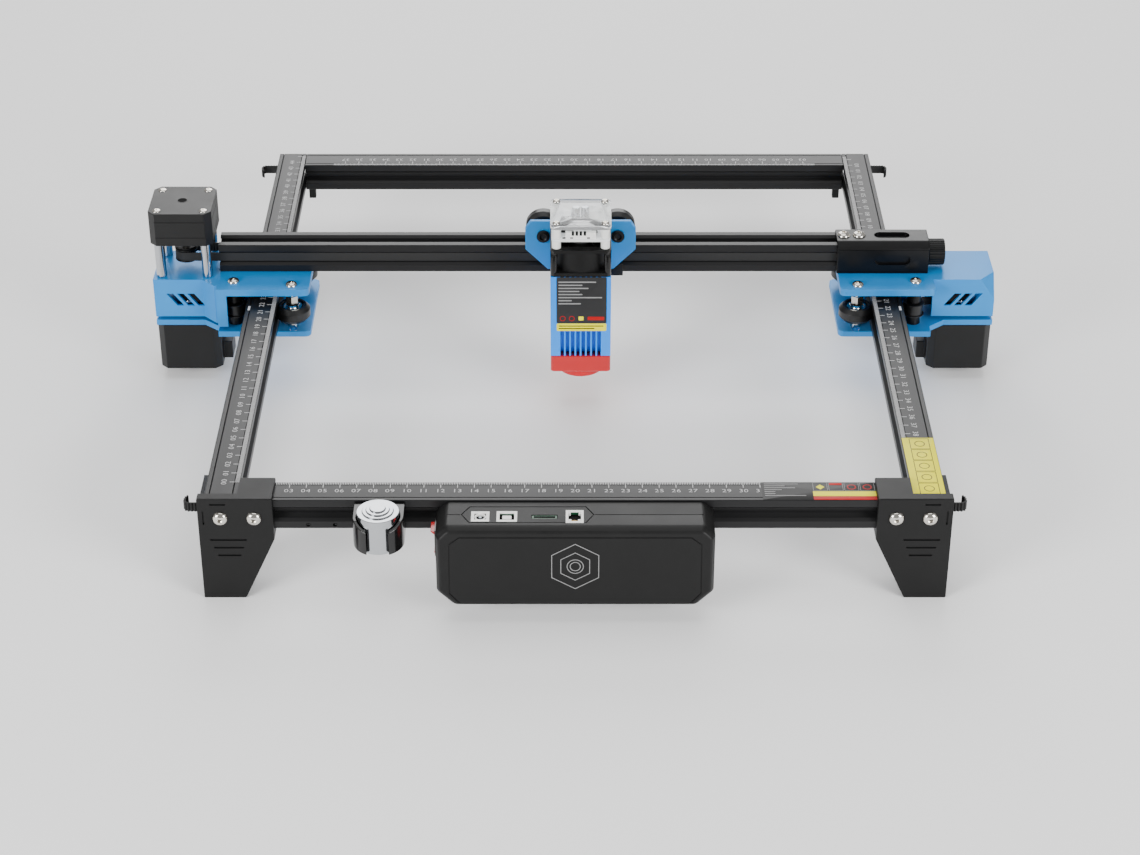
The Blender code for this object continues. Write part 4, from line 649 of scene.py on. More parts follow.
def makeControlBox():
    spec = boxSpec
    low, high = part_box("control_box_shell")
    face = [(x * mm, z * mm) for x, z in spec["face"]]
    top = [(x * mm, y * mm) for x, y in spec["top"]]
    cutters = [outlineRing(face, spec["line"], "Y", low.y - mm, low.y + spec["deep"]),
               outlineRing(top, spec["line"], "Z", high.z - spec["deep"], high.z + mm)]
    seamY = top[2][1]
    for start, end in ((low.x - 2 * mm, top[5][0] - 0.1 * mm), (top[2][0] + 0.1 * mm, high.x + 2 * mm)):
        cutters.append(block((start, seamY - 0.3 * mm, high.z - 0.35 * mm),
                             (end, seamY + 0.3 * mm, high.z + mm),
                             0.25 * mm, 0.05 * mm, "Z", 2))
    refined("control_box_shell", "abs", spec["edge"], cutters, 4, True)
    refined("control_box_cover", "abs", 0.4 * mm)
    refined("main_board", "boardGreen", 0.15 * mm)
    refined("power_switch", "red", 0.5 * mm)

    switchLow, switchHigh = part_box("power_switch")
    y, z = (switchLow.y + switchHigh.y) / 2, (switchLow.z + switchHigh.z) / 2
    outline = [(y - 6.6 * mm, z - 8.8 * mm), (y + 6.6 * mm, z - 8.8 * mm), (y + 6.6 * mm, z + 8.8 * mm),
               (y - 6.6 * mm, z + 8.8 * mm)]
    piece("switch_bezel", [outlineRing(outline, 0.9 * mm, "X", low.x - 0.7 * mm, low.x + 0.2 * mm)],
          "absGloss", "frame")
    knobs = [block((side * 81.6 * mm - 0.9 * mm, -240.5 * mm, 36 * mm),
                   (side * 81.6 * mm + 0.9 * mm, -237.5 * mm, 42 * mm),
                   0.8 * mm, 0.3 * mm, "Z") for side in (-1, 1)]
    piece("box_side_catches", knobs, "abs", "frame")

    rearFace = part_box("control_box_cover")[1].y
    portY = rearFace - 15.7 * mm
    bezels, shadeBlocks, metals = [], [], []
    for name, (x, wide, deep, innerWide, innerDeep) in portSpec.items():
        x, wide, deep, innerWide, innerDeep = (v * mm for v in (x, wide, deep, innerWide, innerDeep))
        if name != "card_slot":
            outline = [(x - wide / 2, portY - deep / 2), (x + wide / 2, portY - deep / 2),
                       (x + wide / 2, portY + deep / 2), (x - wide / 2, portY + deep / 2)]
            bezels.append(outlineRing(outline, (wide - innerWide) / 2, "Z", high.z - 0.6 * mm,
                                      high.z + 0.25 * mm))
        # a near-black block sunk in each opening is painted shade in the port's hollow
        top = high.z - (0.4 if name == "card_slot" else 1.6) * mm
        spread = (0.4 if name == "card_slot" else -0.05) * mm
        shadeBlocks.append(block((x - innerWide / 2 - spread, portY - innerDeep / 2 - spread, high.z - 9 * mm),
                           (x + innerWide / 2 + spread, portY + innerDeep / 2 + spread, top), 0.4 * mm,
                           0.1 * mm))
    jackX = portSpec["power_jack"][0] * mm
    metals.append(revolve([(0, high.z - 2 * mm), (1 * mm, high.z - 2 * mm), (1 * mm, high.z - 0.4 * mm),
                           (0, high.z - 0.1 * mm)],
                          (jackX, portY, 0), steps=24))
    tongues = [ring(tube(3.4 * mm, 2.7 * mm, high.z - 2 * mm, high.z - 0.2 * mm), (jackX, portY, 0),
                    steps=36)]
    usbX = portSpec["usb_socket"][0] * mm
    tongues.append(block((usbX - 2.7 * mm, portY - 1.7 * mm, high.z - 2 * mm),
                         (usbX + 2.7 * mm, portY + 1.7 * mm, high.z - 0.3 * mm),
                         0.5 * mm, 0.2 * mm))
    cableX = portSpec["cable_socket"][0] * mm
    for across in (-1, 1):
        for along, wide, deep in ((-1, 1.7, 1.6), (1, 1.3, 1.2)):
            x, y = cableX + across * (3.65 - wide / 2) * mm, portY + along * (4.45 - deep / 2) * mm
            tongues.append(block((x - wide / 2 * mm, y - deep / 2 * mm, high.z - 2 * mm),
                                 (x + wide / 2 * mm, y + deep / 2 * mm, high.z + 0.1 * mm), 0.2 * mm,
                                 0.05 * mm, "Z", 3))
    pins = [block((cableX + (i - 2.5) * 0.8 * mm, portY - 3.4 * mm, high.z - 2 * mm),
                  (cableX + (i - 2.5) * 0.8 * mm + 0.35 * mm, portY - 1.6 * mm, high.z - 1.4 * mm),
                  0.15 * mm, 0.1 * mm, "Z", 3)
            for i in range(6)]
    piece("port_bezels", bezels, "nylon", "frame")
    piece("port_painted_shade", shadeBlocks, "shadow", "frame")
    piece("port_metal", metals, "tin", "frame")
    piece("port_tongues", tongues, "nylon", "frame")
    piece("cable_contacts", pins, "brass", "frame")
    inkBars = [outlineRing([(x * mm * s, (41 + z * s) * mm) for x, z in
                            ((-14, -8), (0, -16), (14, -8), (14, 8), (0, 16), (-14, 8))], 0.45 * mm, "Y",
                           low.y - 0.04 * mm, low.y + 0.1 * mm) for s in (1.0, 0.62)]
    inkBars += [ring(tube(r * mm, (r - 0.45) * mm, -0.04 * mm, 0.1 * mm),
                     (0, low.y, 41 * mm), "Y") for r in (5.0, 3.2)]
    piece("plain_emblem", inkBars, "inkGrey", "frame")
    screws = heads([(side * 66 * mm, rearFace, z * mm) for side in (-1, 1) for z in (30,)], "Y", 2.6 * mm,
                   1.4 * mm, 1.8 * mm, 1)
    piece("cover_screws", screws, "steel", "frame")


# focus gauge in its clip
gaugeSpec = {"stepRise": 0.8 * mm, "stepRadii": (9.2 * mm, 6.9 * mm, 4.6 * mm), "lip": 0.5 * mm}


def makeGauge():
    low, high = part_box("focus_gauge")
    centre = ((low.x + high.x) / 2, (low.y + high.y) / 2, 0)
    radius = (high.x - low.x) / 2
    level = high.z - 3 * gaugeSpec["stepRise"]
    profile = [(0, low.z), (radius, low.z), (radius, level)]
    for step in gaugeSpec["stepRadii"]:
        profile += [(step, level), (step, level + gaugeSpec["stepRise"])]
        level += gaugeSpec["stepRise"]
    profile.append((0, level))
    piece("focus_gauge_turned", [revolve(profile, centre, steps=128, ease=gaugeSpec["lip"] / 2)], "turned",
          "focus_gauge", ("focus_gauge",))
    refined("gauge_holder", "absGloss", 0.45 * mm, steps=3)


# gantry ends
gantrySpec = {"plateEdge": 0.9 * mm, "screwRadius": 4.1 * mm, "screwHeight": 2.3 * mm, "socket": 2.9 * mm}


def makeGantryPlates():
    spec = gantrySpec
    screws, spacers, nuts, darkSpacers = [], [], [], []
    for word in ("left", "right"):
        refined(word + "_top_plate", "bluePlate", spec["plateEdge"])
        refined(word + "_lower_plate", "bluePlate", spec["plateEdge"])
        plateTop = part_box(word + "_top_plate")[1].z
        plateLow = plateTop - 5 * mm
        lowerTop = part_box(word + "_lower_plate")[1].z
        for place in ("front", "rear"):
            wheel, idler = middle(f"{word}_{place}_wheel"), middle(f"{word}_{place}_idler")
            wheelHigh, idlerHigh = (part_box(f"{word}_{place}_{kind}")[1].z for kind in ("wheel", "idler"))
            wheelLow, idlerLow = (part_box(f"{word}_{place}_{kind}")[0].z for kind in ("wheel", "idler"))
            screws += heads([(p.x, p.y, plateTop) for p in (wheel, idler)], "Z", spec["screwRadius"],
                            spec["screwHeight"], spec["socket"])
            hexSide = lambda angle: 1 / np.cos((angle + np.pi / 6) % (np.pi / 3) - np.pi / 6)
            spacers.append(revolve([(0, wheelHigh + 0.5 * mm), (3.9 * mm, wheelHigh + 0.5 * mm),
                                    (3.9 * mm, plateLow - 2.4 * mm),
                                    (3.3 * mm, plateLow - 2.4 * mm), (3.3 * mm, plateLow + 0.3 * mm),
                                    (0, plateLow + 0.3 * mm)],
                                   (wheel.x, wheel.y, 0), steps=36, ripple=hexSide))
            nuts.append(revolve([(0, lowerTop - 0.2 * mm), (3.8 * mm, lowerTop - 0.2 * mm),
                                 (3.8 * mm, lowerTop + 3 * mm),
                                 (3.0 * mm, wheelLow - 0.5 * mm), (0, wheelLow - 0.5 * mm)],
                                (wheel.x, wheel.y, 0), steps=36))
            darkSpacers.append(revolve([(0, idlerHigh + 0.4 * mm), (4.6 * mm, idlerHigh + 0.4 * mm),
                                        (4.6 * mm, plateLow - 1.5 * mm),
                                        (5.6 * mm, plateLow - 1.5 * mm), (5.6 * mm, plateLow + 0.3 * mm),
                                        (0, plateLow + 0.3 * mm)],
                                       (idler.x, idler.y, 0), steps=36))
            darkSpacers.append(revolve([(0, lowerTop - 0.2 * mm), (5 * mm, lowerTop - 0.2 * mm),
                                        (4.4 * mm, idlerLow - 0.4 * mm),
                                        (0, idlerLow - 0.4 * mm)], (idler.x, idler.y, 0), steps=36))
    low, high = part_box("tensioner_block")
    centreY = (low.y + high.y) / 2
    screws += heads([(low.x + reach, centreY, high.z) for reach in (5 * mm, 15.4 * mm)], "Z", 4.4 * mm,
                    2.3 * mm, 2.9 * mm)
    piece("gantry_screws", screws, "steel", "gantry")
    piece("eccentric_spacers", spacers + nuts, "steel", "gantry")
    piece("idler_spacers", darkSpacers, "anodised", "gantry")
    refined("idler_fork", "anodised", 0.3 * mm)
    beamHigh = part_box("x_beam")[1].z
    setScrews = [revolve([(0, beamHigh - 6.3 * mm), (1.9 * mm, beamHigh - 6.3 * mm),
                          (1.9 * mm, beamHigh - 3.4 * mm),
                          (0.9 * mm, beamHigh - 3.4 * mm), (0.9 * mm, beamHigh - 4.2 * mm),
                          (0, beamHigh - 4.2 * mm)],
                         (x * mm, centreY, 0), steps=24) for x in (-230.6, -216.5, -187.3)]
    piece("beam_set_screws", setScrews, "steel", "gantry")


# belt tensioner: a channel over the beam's end with two rounded windows
tensionerSpec = {"cut": 4.0 * mm, "wall": 2.3 * mm, "window": (25.5 * mm, 49.5 * mm), "top": 8.6 * mm,
                 "side": 7.4 * mm,
                 "edge": 0.7 * mm, "groove": 0.35 * mm}


def makeTensioner():
    spec = tensionerSpec
    low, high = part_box("tensioner_block")
    cut, wall = spec["cut"], spec["wall"]
    section = [(low.y, low.z), (high.y, low.z), (high.y, high.z - cut), (high.y - cut, high.z),
               (low.y + cut, high.z),
               (low.y, high.z - cut)]
    centreY, centreZ = (low.y + high.y) / 2, middle("x_beam").z
    start, end = low.x + spec["window"][0], low.x + spec["window"][1]
    cutters = [block((low.x - mm, low.y + wall, low.z - mm), (high.x - wall, high.y - wall, high.z - wall),
                     0.4 * mm, 0.1 * mm, "X"),
               block((start, centreY - spec["top"] / 2, high.z - 2 * wall),
                     (end, centreY + spec["top"] / 2, high.z + mm),
                     spec["top"] * 0.49, 0.02 * mm, "Z", 10),
               block((start, low.y - mm, centreZ - spec["side"] / 2),
                     (end, high.y + mm, centreZ + spec["side"] / 2),
                     spec["side"] * 0.49, 0.02 * mm, "Y", 10),
               revolve(disc(2.8 * mm, high.x - 2 * wall, high.x + mm),
                       (0, centreY, centreZ), "X", 32, 0)]
    for level in (high.z - cut - 1.2 * mm, low.z + 1.6 * mm):
        cutters.append(block((low.x - mm, low.y - mm, level),
                             (high.x + mm, low.y + spec["groove"], level + spec["groove"]),
                             0.1 * mm, 0.01 * mm, "X", 2))
    mesh = shaped("tensioner", shellMesh("tensioner", [outlineSolid(section, "X", low.x, high.x)]),
                  spec["edge"], cutters, 3, True)
    mesh.name = "tensioner"
    made = settle(mesh, "tensioner_channel", "anodised", "gantry", ("tensioner_block",), 30)
    made.modifiers.new("normals", "WEIGHTED_NORMAL").keep_sharp = True


# wheels, idlers and pulleys
wheelSpec = {"bearing": 6.4 * mm, "bore": 2.75 * mm, "relief": 0.9 * mm}


def makeWheels():
    for node in [n for n in nodes if n.endswith("_wheel")]:
        low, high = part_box(node)
        centre = (low + high) / 2
        axis = "Y" if "carriage" in node else "Z"
        size = high - low
        half = (size.y if axis == "Y" else size.z) / 2
        radius = size.x / 2
        rim = 2.7 * mm
        flank = radius - (half - rim)
        bearing, bore, relief = wheelSpec["bearing"], wheelSpec["bore"], wheelSpec["relief"]
        tyre = [(bearing, -half + relief), (bearing + 1.2 * mm, -half + relief),
                (bearing + 1.6 * mm, -half), (flank, -half),
                (radius - 0.3 * mm, -rim - 0.1 * mm), (radius, -rim + 0.3 * mm), (radius, rim - 0.3 * mm),
                (radius - 0.3 * mm, rim + 0.1 * mm), (flank, half), (bearing + 1.6 * mm, half),
                (bearing + 1.2 * mm, half - relief), (bearing, half - relief)]
        inner = bearing - 0.02 * mm
        races = [(inner, -half + relief), (inner, half - relief), (inner - 1.1 * mm, half - relief),
                 (inner - 1.3 * mm, half - relief - 0.4 * mm),
                 (bore + 1.3 * mm, half - relief - 0.4 * mm), (bore + 1.1 * mm, half - relief),
                 (bore, half - relief),
                 (bore, -half + relief), (bore + 1.1 * mm, -half + relief),
                 (bore + 1.3 * mm, -half + relief + 0.4 * mm),
                 (inner - 1.3 * mm, -half + relief + 0.4 * mm), (inner - 1.1 * mm, -half + relief)]
        body = nodes[node]["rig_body"]
        piece(node + "_tyre", [ring(tyre, centre, axis, 72)], "wheel", body, (node,))
        piece(node + "_bearing", [ring(races, centre, axis, 48)], "steel", body)
    for node in [n for n in nodes if n.endswith("_idler")]:
        low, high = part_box(node)
        centre = (low + high) / 2
        half, radius = (high.z - low.z) / 2, (high.x - low.x) / 2
        barrel, bore = 6.0 * mm, 2.75 * mm
        section = [(bore, -half), (radius - 0.3 * mm, -half), (radius, 0.3 * mm - half),
                   (radius, 0.8 * mm - half),
                   (barrel, 1.1 * mm - half), (barrel, half - 1.1 * mm), (radius, half - 0.8 * mm),
                   (radius, half - 0.3 * mm), (radius - 0.3 * mm, half), (bore, half)]
        piece(node + "_turned", [ring(section, centre, "Z", 48)], "wheel", nodes[node]["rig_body"], (node,))


pulleySpec = {"teeth": 20, "barrel": 6.1 * mm, "depth": 0.6 * mm, "hub": 7.0 * mm}


def makePulleys():
    # barrel radius dips once for each tooth: r = barrel - depth * (1 + cos(teeth * angle)) / 2
    spec = pulleySpec
    for node, up in (("left_y_pulley", 1), ("right_y_pulley", 1), ("x_pulley", -1)):
        low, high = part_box(node)
        centre = (low + high) / 2
        beltZ = middle("left_belt_loop" if up > 0 else "x_belt").z
        tip = high.z if up > 0 else low.z
        half, thick, radius = 3.5 * mm, 1.0 * mm, (high.x - low.x) / 2
        angle = lambda a: 1 - spec["depth"] / spec["barrel"] * (1 + np.cos(spec["teeth"] * a)) / 2
        barrel = revolve(disc(spec["barrel"], beltZ - half, beltZ + half),
                         (centre.x, centre.y, 0), steps=160, ease=0.02 * mm, ripple=angle)
        hubEnd = beltZ - up * (half + 2 * thick)
        shaftEnd = low.z if up > 0 else high.z
        order = sorted((hubEnd, beltZ - up * (half + thick / 2)))
        flanges = [revolve([(0, z - thick / 2), (radius - 0.3 * mm, z - thick / 2), (radius, z),
                            (radius - 0.3 * mm, z + thick / 2),
                            (0, z + thick / 2)], (centre.x, centre.y, 0))
                   for z in (beltZ - half - thick / 2, beltZ + half + thick / 2)]
        hub = revolve(disc(spec["hub"], order[0], order[1]), (centre.x, centre.y, 0))
        ends = sorted((shaftEnd, tip - up * 0.2 * mm))
        shaft = revolve(disc(2.5 * mm, ends[0], ends[1]), (centre.x, centre.y, 0), steps=32)
        body = nodes[node]["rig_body"]
        key = "anodised" if node == "x_pulley" else "turned"
        piece(node + "_toothed", [barrel, hub] + flanges, key, body, (node,), 25)
        piece(node + "_shaft", [shaft], "steel", body)


# tension knob: ridges round the rim
knobSpec = {"ridges": 28, "ridge": 0.045, "cap": 5.5 * mm}


def makeKnob():
    low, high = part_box("tension_knob")
    centreY, centreZ = (low.y + high.y) / 2, (low.z + high.z) / 2
    radius, end = (high.z - low.z) / 2, high.x
    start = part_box("tensioner_block")[1].x + 0.5 * mm
    ridges = lambda a: 1 - knobSpec["ridge"] * (0.5 + 0.5 * np.clip(2 * np.cos(knobSpec["ridges"] * a), -1,
                                                                    1))
    grip = revolve([(0, start), (radius, start), (radius, end), (knobSpec["cap"], end),
                    (knobSpec["cap"], end - 0.6 * mm), (0, end - 0.6 * mm)],
                   (0, centreY, centreZ), "X", 224, 0.5 * mm, ridges)
    screw = revolve(disc(2.4 * mm, low.x, start + mm), (0, centreY, centreZ), "X", 32)
    piece("tension_knob_grip", [grip], "anodised", "tension_knob", ("tension_knob",), 25)
    piece("tension_screw", [screw], "steel", "tension_knob")


# stepper motors
motorSpec = {"edge": 0.7 * mm, "screwPitch": 31 * mm, "groove": 0.5 * mm}


def makeMotors():
    for node in ("x_motor", "left_y_motor", "right_y_motor"):
        low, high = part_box(node)
        centre = middle({"x_motor": "x_pulley"}.get(node, node.replace("motor", "pulley")))
        half = 21.15 * mm
        bodyLow, bodyHigh = (low.z + 2 * mm, high.z) if node == "x_motor" else (low.z, high.z - 2 * mm)
        cutters = []
        for level in (bodyLow + 0.26 * (bodyHigh - bodyLow), bodyHigh - 0.26 * (bodyHigh - bodyLow)):
            outline = [(centre.x - half - mm, centre.y - half - mm),
                       (centre.x + half + mm, centre.y - half - mm),
                       (centre.x + half + mm, centre.y + half + mm),
                       (centre.x - half - mm, centre.y + half + mm)]
            cutters.append(outlineRing(outline, mm + 0.35 * mm, "Z", level - 0.25 * mm, level + 0.25 * mm))
        refined(node, "motor", motorSpec["edge"], cutters if node == "x_motor" else ())
        face, way = (bodyHigh, 1) if node == "x_motor" else (bodyLow, -1)
        places = [(centre.x + a * motorSpec["screwPitch"] / 2, centre.y + b * motorSpec["screwPitch"] / 2,
                   face)
                  for a in (-1, 1) for b in (-1, 1)]
        piece(node + "_screws", heads(places, "Z", 2.9 * mm, 0.9 * mm, 1.4 * mm, way), "steel", "gantry")
        well = ring([(3.6 * mm, -0.1 * mm), (3.5 * mm, 0.12 * mm), (3.1 * mm, 0.12 * mm),
                     (3.1 * mm, -0.1 * mm)],
                    (centre.x, centre.y, face if way > 0 else face - 0.02 * mm), "Z")
        # a near-black disc in the bearing hole is painted shade
        dark = revolve(disc(3.2 * mm, -0.1 * mm, 0.06 * mm),
                       (centre.x, centre.y, face if way > 0 else face - 0.05 * mm), "Z", 36, 0.01 * mm)
        piece(node + "_bearing_rim", [well], "motor", "gantry")
        piece(node + "_bearing_hole_shade", [dark], "shadow", "gantry")
    posts = []
    for i in range(1, 5):
        low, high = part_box(f"motor_standoff_{i}")
        c = (low + high) / 2
        r = (high.x - low.x) / 2
        profile = disc(r, low.z, high.z)
        posts.append(revolve(profile, (c.x, c.y, 0), steps=40, ease=0.4 * mm))
    piece("motor_standoffs_turned", posts, "turned", "gantry", [f"motor_standoff_{i}" for i in range(1, 5)])


# carriage and laser module
laserSpec = {"labelLow": 66 * mm, "stripLow": 60.2 * mm, "pillar": 3.0 * mm,
             "boardLift": 6.0 * mm, "plate": 3.0 * mm}


def makeCarriage():
    refined("carriage_plate", "bluePlate", 0.6 * mm)
    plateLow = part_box("carriage_plate")[0]
    caps = []
    for node in ("upper_left_carriage_wheel", "upper_right_carriage_wheel"):
        c = middle(node)
        face = plateLow.y
        caps.append(revolve([(0, face + 0.2 * mm), (4.4 * mm, face + 0.2 * mm), (4.4 * mm, face - 1.8 * mm),
                             (2.2 * mm, face - 2.2 * mm),
                             (2.0 * mm, face - 1.2 * mm), (0, face - 1.1 * mm)], (c.x, 0, c.z), "Y", 48,
                            0.35 * mm))
    piece("axle_caps", caps, "anodised", "carriage")
    foot = middle("x_beam").z - 10.3 * mm
    switch = block((24.6 * mm, plateLow.y + 0.2 * mm, foot),
                   (32.7 * mm, plateLow.y + 4.9 * mm, foot + 9 * mm), 0.8 * mm, 0.3 * mm)
    tab = block((21 * mm, plateLow.y + 0.6 * mm, foot + 6 * mm),
                (27 * mm, plateLow.y + 2.6 * mm, foot + 10.5 * mm), 0.5 * mm, 0.2 * mm)
    piece("limit_switch", [switch, tab], "abs", "carriage")


def makeLaser():
    spec = laserSpec
    refined("laser_mount", "bluePlate", 0.5 * mm)
    refined("heatsink", "blueFins", 0.3 * mm)
    low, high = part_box("heatsink")
    centre = Vector(((low.x + high.x) / 2, (low.y + high.y) / 2, 0))
    half = (high.x - low.x) / 2
    face = low.y

    def label(name, left, right, bottom, top, key, proud, corner=0.8):
        panel = block((left, face - proud * mm, bottom), (right, face + 0.1 * mm, top), corner * mm,
                      0.05 * mm, "Y")
        piece(name, [panel], key, "laser")

    left, right = low.x + 4.1 * mm, high.x - 2.9 * mm
    label("rating_label", left, right, spec["labelLow"], high.z - 0.05 * mm, "vinylGrey", 0.25)
    label("yellow_strip", left, right, spec["stripLow"], spec["labelLow"] - 0.2 * mm, "vinylYellow", 0.25)
    rows = [(left + 1.2 * mm, left + wide * mm, high.z - (3.6 + 2.3 * i) * mm) for i, wide in
            enumerate((26, 17, 21, 15, 17, 30, 10, 16))]
    lines = [block((a, face - 0.3 * mm, z - 0.45 * mm), (b, face - 0.2 * mm, z + 0.45 * mm), 0.3 * mm,
                   0.02 * mm, "Y", 3)
             for a, b, z in rows]
    piece("label_lines", lines, "inkGrey", "laser")
    marks = [ring(tube(1.9 * mm, 1.5 * mm, -0.3 * mm, -0.2 * mm),
                  (left + reach * mm, face, 69.6 * mm), "Y", 32) for reach in (4, 10)]
    piece("label_rings", marks, "vinylRed", "laser")
    piece("label_tab", [block((left + 20.5 * mm, face - 0.3 * mm, 68.4 * mm),
                              (left + 31.5 * mm, face - 0.2 * mm, 71 * mm),
                              0.4 * mm, 0.02 * mm, "Y", 3)], "vinylRed", "laser")
    piece("label_square", [block((left + 14.5 * mm, face - 0.3 * mm, 68.2 * mm),
                                 (left + 17.8 * mm, face - 0.2 * mm, 71.2 * mm),
                                 0.4 * mm, 0.02 * mm, "Y", 3)], "vinylYellow", "laser")
    bars = [block((left + 1.2 * mm, face - 0.3 * mm, z * mm),
                  (right - wide * mm, face - 0.2 * mm, (z + 0.7) * mm),
                  0.3 * mm, 0.02 * mm, "Y", 3) for z, wide in ((63.6, 2), (61.7, 8))]
    piece("strip_lines", bars, "vinylBlack", "laser")

    # square hood: a rounded rectangle with a 2 mm wall, and a flat top with the barrel's hole left open
    shieldLow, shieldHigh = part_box("red_shield")
    angle = np.arctan2(*np.stack(roundedOutline(half, half, 2.2 * mm, 10))[::-1])
    outer, inner = (np.stack(roundedOutline(h, h, r, 10)) for h,
                    r in ((half, 2.2 * mm), (half - 2 * mm, 0.8 * mm)))
    hole = np.stack([8.6 * mm * np.cos(angle), 8.6 * mm * np.sin(angle)])
    trim = outer * (1 - 0.5 * mm / half)
    rows = [(hole, shieldHigh.z), (trim, shieldHigh.z), (outer, shieldHigh.z - 0.5 * mm),
            (outer, shieldLow.z + 0.5 * mm), (trim, shieldLow.z),
            (inner, shieldLow.z), (inner, shieldHigh.z - 2 * mm), (hole, shieldHigh.z - 2 * mm)]
    hood = np.array([turned("Z", centre.x + loop[0], centre.y + loop[1], level + 0 * angle) for loop,
                     level in rows])
    piece("red_hood", [(hood, (True, True))], "red", "laser", ("red_shield",))
    # thin clear red tube inside the hood, its lower rim rounded
    tubeLow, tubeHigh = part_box("red_sleeve")
    radius, bottom = (tubeHigh.x - tubeLow.x) / 2, tubeLow.z
    sleeve = ring([(radius, bottom + 0.4 * mm), (radius, tubeHigh.z), (radius - 1.4 * mm, tubeHigh.z),
                   (radius - 1.4 * mm, bottom + 0.4 * mm), (radius - 1.0 * mm, bottom),
                   (radius - 0.4 * mm, bottom)], centre, "Z", 128)
    piece("red_tube", [sleeve], "redClear", "laser", ("red_sleeve",))

    barrelLow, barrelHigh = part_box("laser_barrel")
    barrel = [(0, barrelHigh.z), (7.5 * mm, barrelHigh.z), (7.5 * mm, barrelLow.z), (5.6 * mm, barrelLow.z),
              (5.3 * mm, barrelLow.z + 10 * mm), (0, barrelLow.z + 10 * mm)]
    grooves = lambda a: 1 - 0.02 * (0.5 + 0.5 * np.cos(48 * a))
    piece("laser_barrel_turned", [revolve(barrel, centre, steps=192, ease=0.3 * mm, ripple=grooves)],
          "brass", "laser", ("laser_barrel",))
    lensLow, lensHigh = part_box("focus_lens")
    bend = np.linspace(0, 1, 8)
    dome = [(5.0 * mm * b, lensHigh.z - 0.8 * mm * b * b) for b in bend]
    piece("focus_lens_ground", [revolve(dome + [(5.0 * mm, lensLow.z), (0, lensLow.z)], centre, steps=64)],
          "glass", "laser", ("focus_lens",))

    fanLow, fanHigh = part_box("fan_frame")
    square = np.stack(roundedOutline(half, half, 3.2 * mm, 16))
    angle = np.arctan2(square[1], square[0])
    bore = 18.5 * mm

    def flange(bottom, top):
        # the round bore widens to the rounded square: four rows of section points share one angle
        circle = np.stack([bore * np.cos(angle), bore * np.sin(angle)])
        rows = [(circle, bottom), (square, bottom), (square, top), (circle, top)]
        grid = np.array([turned("Z", centre.x + loop[0], centre.y + loop[1], level + 0 * angle) for loop,
                         level in rows])
        return grid, (True, True)

    shells = [flange(fanLow.z, fanLow.z + 2.6 * mm), flange(fanHigh.z - 2.2 * mm, fanHigh.z)]
    shells.append(ring(tube(19.6 * mm, 18.5 * mm, fanLow.z + mm, fanHigh.z - mm),
                       centre, "Z", 96))
    strut = 1.5 * mm
    for k in range(4):
        a = k * np.pi / 2
        spoke = block((7 * mm, -strut, fanLow.z), (18.9 * mm, strut, fanLow.z + 3 * mm), 0.6 * mm, 0.2 * mm,
                      "Z", 3)[0]
        x, y = spoke[..., 0].copy(), spoke[..., 1].copy()
        spoke[..., 0] = centre.x + x * np.cos(a) - y * np.sin(a)
        spoke[..., 1] = centre.y + x * np.sin(a) + y * np.cos(a)
        shells.append((spoke, (False, True)))
    shells.append(revolve(disc(8 * mm, fanLow.z, fanLow.z + 3 * mm), centre, steps=64))
    piece("fan_shroud", shells, "abs", "laser", ("fan_frame",))
    posts = [block((centre.x + a * (half - 2.4 * mm) - 2.3 * mm,
                    centre.y + b * (half - 2.4 * mm) - 2.3 * mm, fanLow.z + 0.5 * mm),
                   (centre.x + a * (half - 2.4 * mm) + 2.3 * mm,
                    centre.y + b * (half - 2.4 * mm) + 2.3 * mm, fanHigh.z - 0.5 * mm),
                   2.0 * mm, 0.2 * mm, "Z", 6) for a in (-1, 1) for b in (-1, 1)]
    piece("fan_posts", posts, "absGloss", "laser")
    refined("fan_rotor", "abs", 0.2 * mm)

    boardLow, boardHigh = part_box("driver_board")
    boardZ = fanHigh.z + spec["boardLift"]
    board = block((centre.x - half + 0.8 * mm, centre.y - half + 0.8 * mm, boardZ),
                  (centre.x + half - 0.8 * mm, centre.y + half - 0.8 * mm, boardZ + 1.6 * mm), 2.5 * mm,
                  0.1 * mm)
    piece("driver_circuit", [board], "board", "laser", ("driver_board",))
    pillars = []
    screws = []
    coverLow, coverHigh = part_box("clear_cover")
    for a in (-1, 1):
        for b in (-1, 1):
            at = (centre.x + a * 16 * mm, centre.y + b * 16 * mm, 0)
            r = spec["pillar"]
            pillars.append(revolve(disc(r, boardLow.z, boardZ - 0.05 * mm), at, steps=36, ease=0.3 * mm))
            pillars.append(revolve(disc(r - 0.2 * mm, boardZ + 1.65 * mm, boardHigh.z),
                                   at, steps=36, ease=0.3 * mm))
            screws.append((at[0], at[1], coverLow.z + spec["plate"]))
    piece("nylon_pillars", pillars, "nylon", "laser")
    cover = block((coverLow.x, coverLow.y, coverLow.z),
                  (coverHigh.x, coverHigh.y, coverLow.z + spec["plate"]), 3.5 * mm, 0.25 * mm)
    piece("clear_cover_plate", [cover], "clear", "laser", ("clear_cover",))
    piece("cover_hex_screws", heads(screws, "Z", 2.6 * mm, coverHigh.z - coverLow.z - spec["plate"],
                                    2.2 * mm), "steel", "laser")
    parts = {"chips": [((-9, -6), (8, 6, 1.6)), ((4, 4), (7, 7, 1.2)), ((-8, 8), (5, 4, 1.4)),
                       ((9, -7), (4, 5, 1.3))],
             "sockets": [((0, -16.6), (20, 3.4, 4.6)), ((9, 12), (8, 6, 5))],
             "small": [((-14 + 2.6 * i, 1.2), (1.6, 0.9, 0.7)) for i in range(11)]}
    for name, key, group in (("board_chips", "absGloss", "chips"), ("board_sockets", "nylon", "sockets"),
                             ("board_smalls", "brass", "small")):
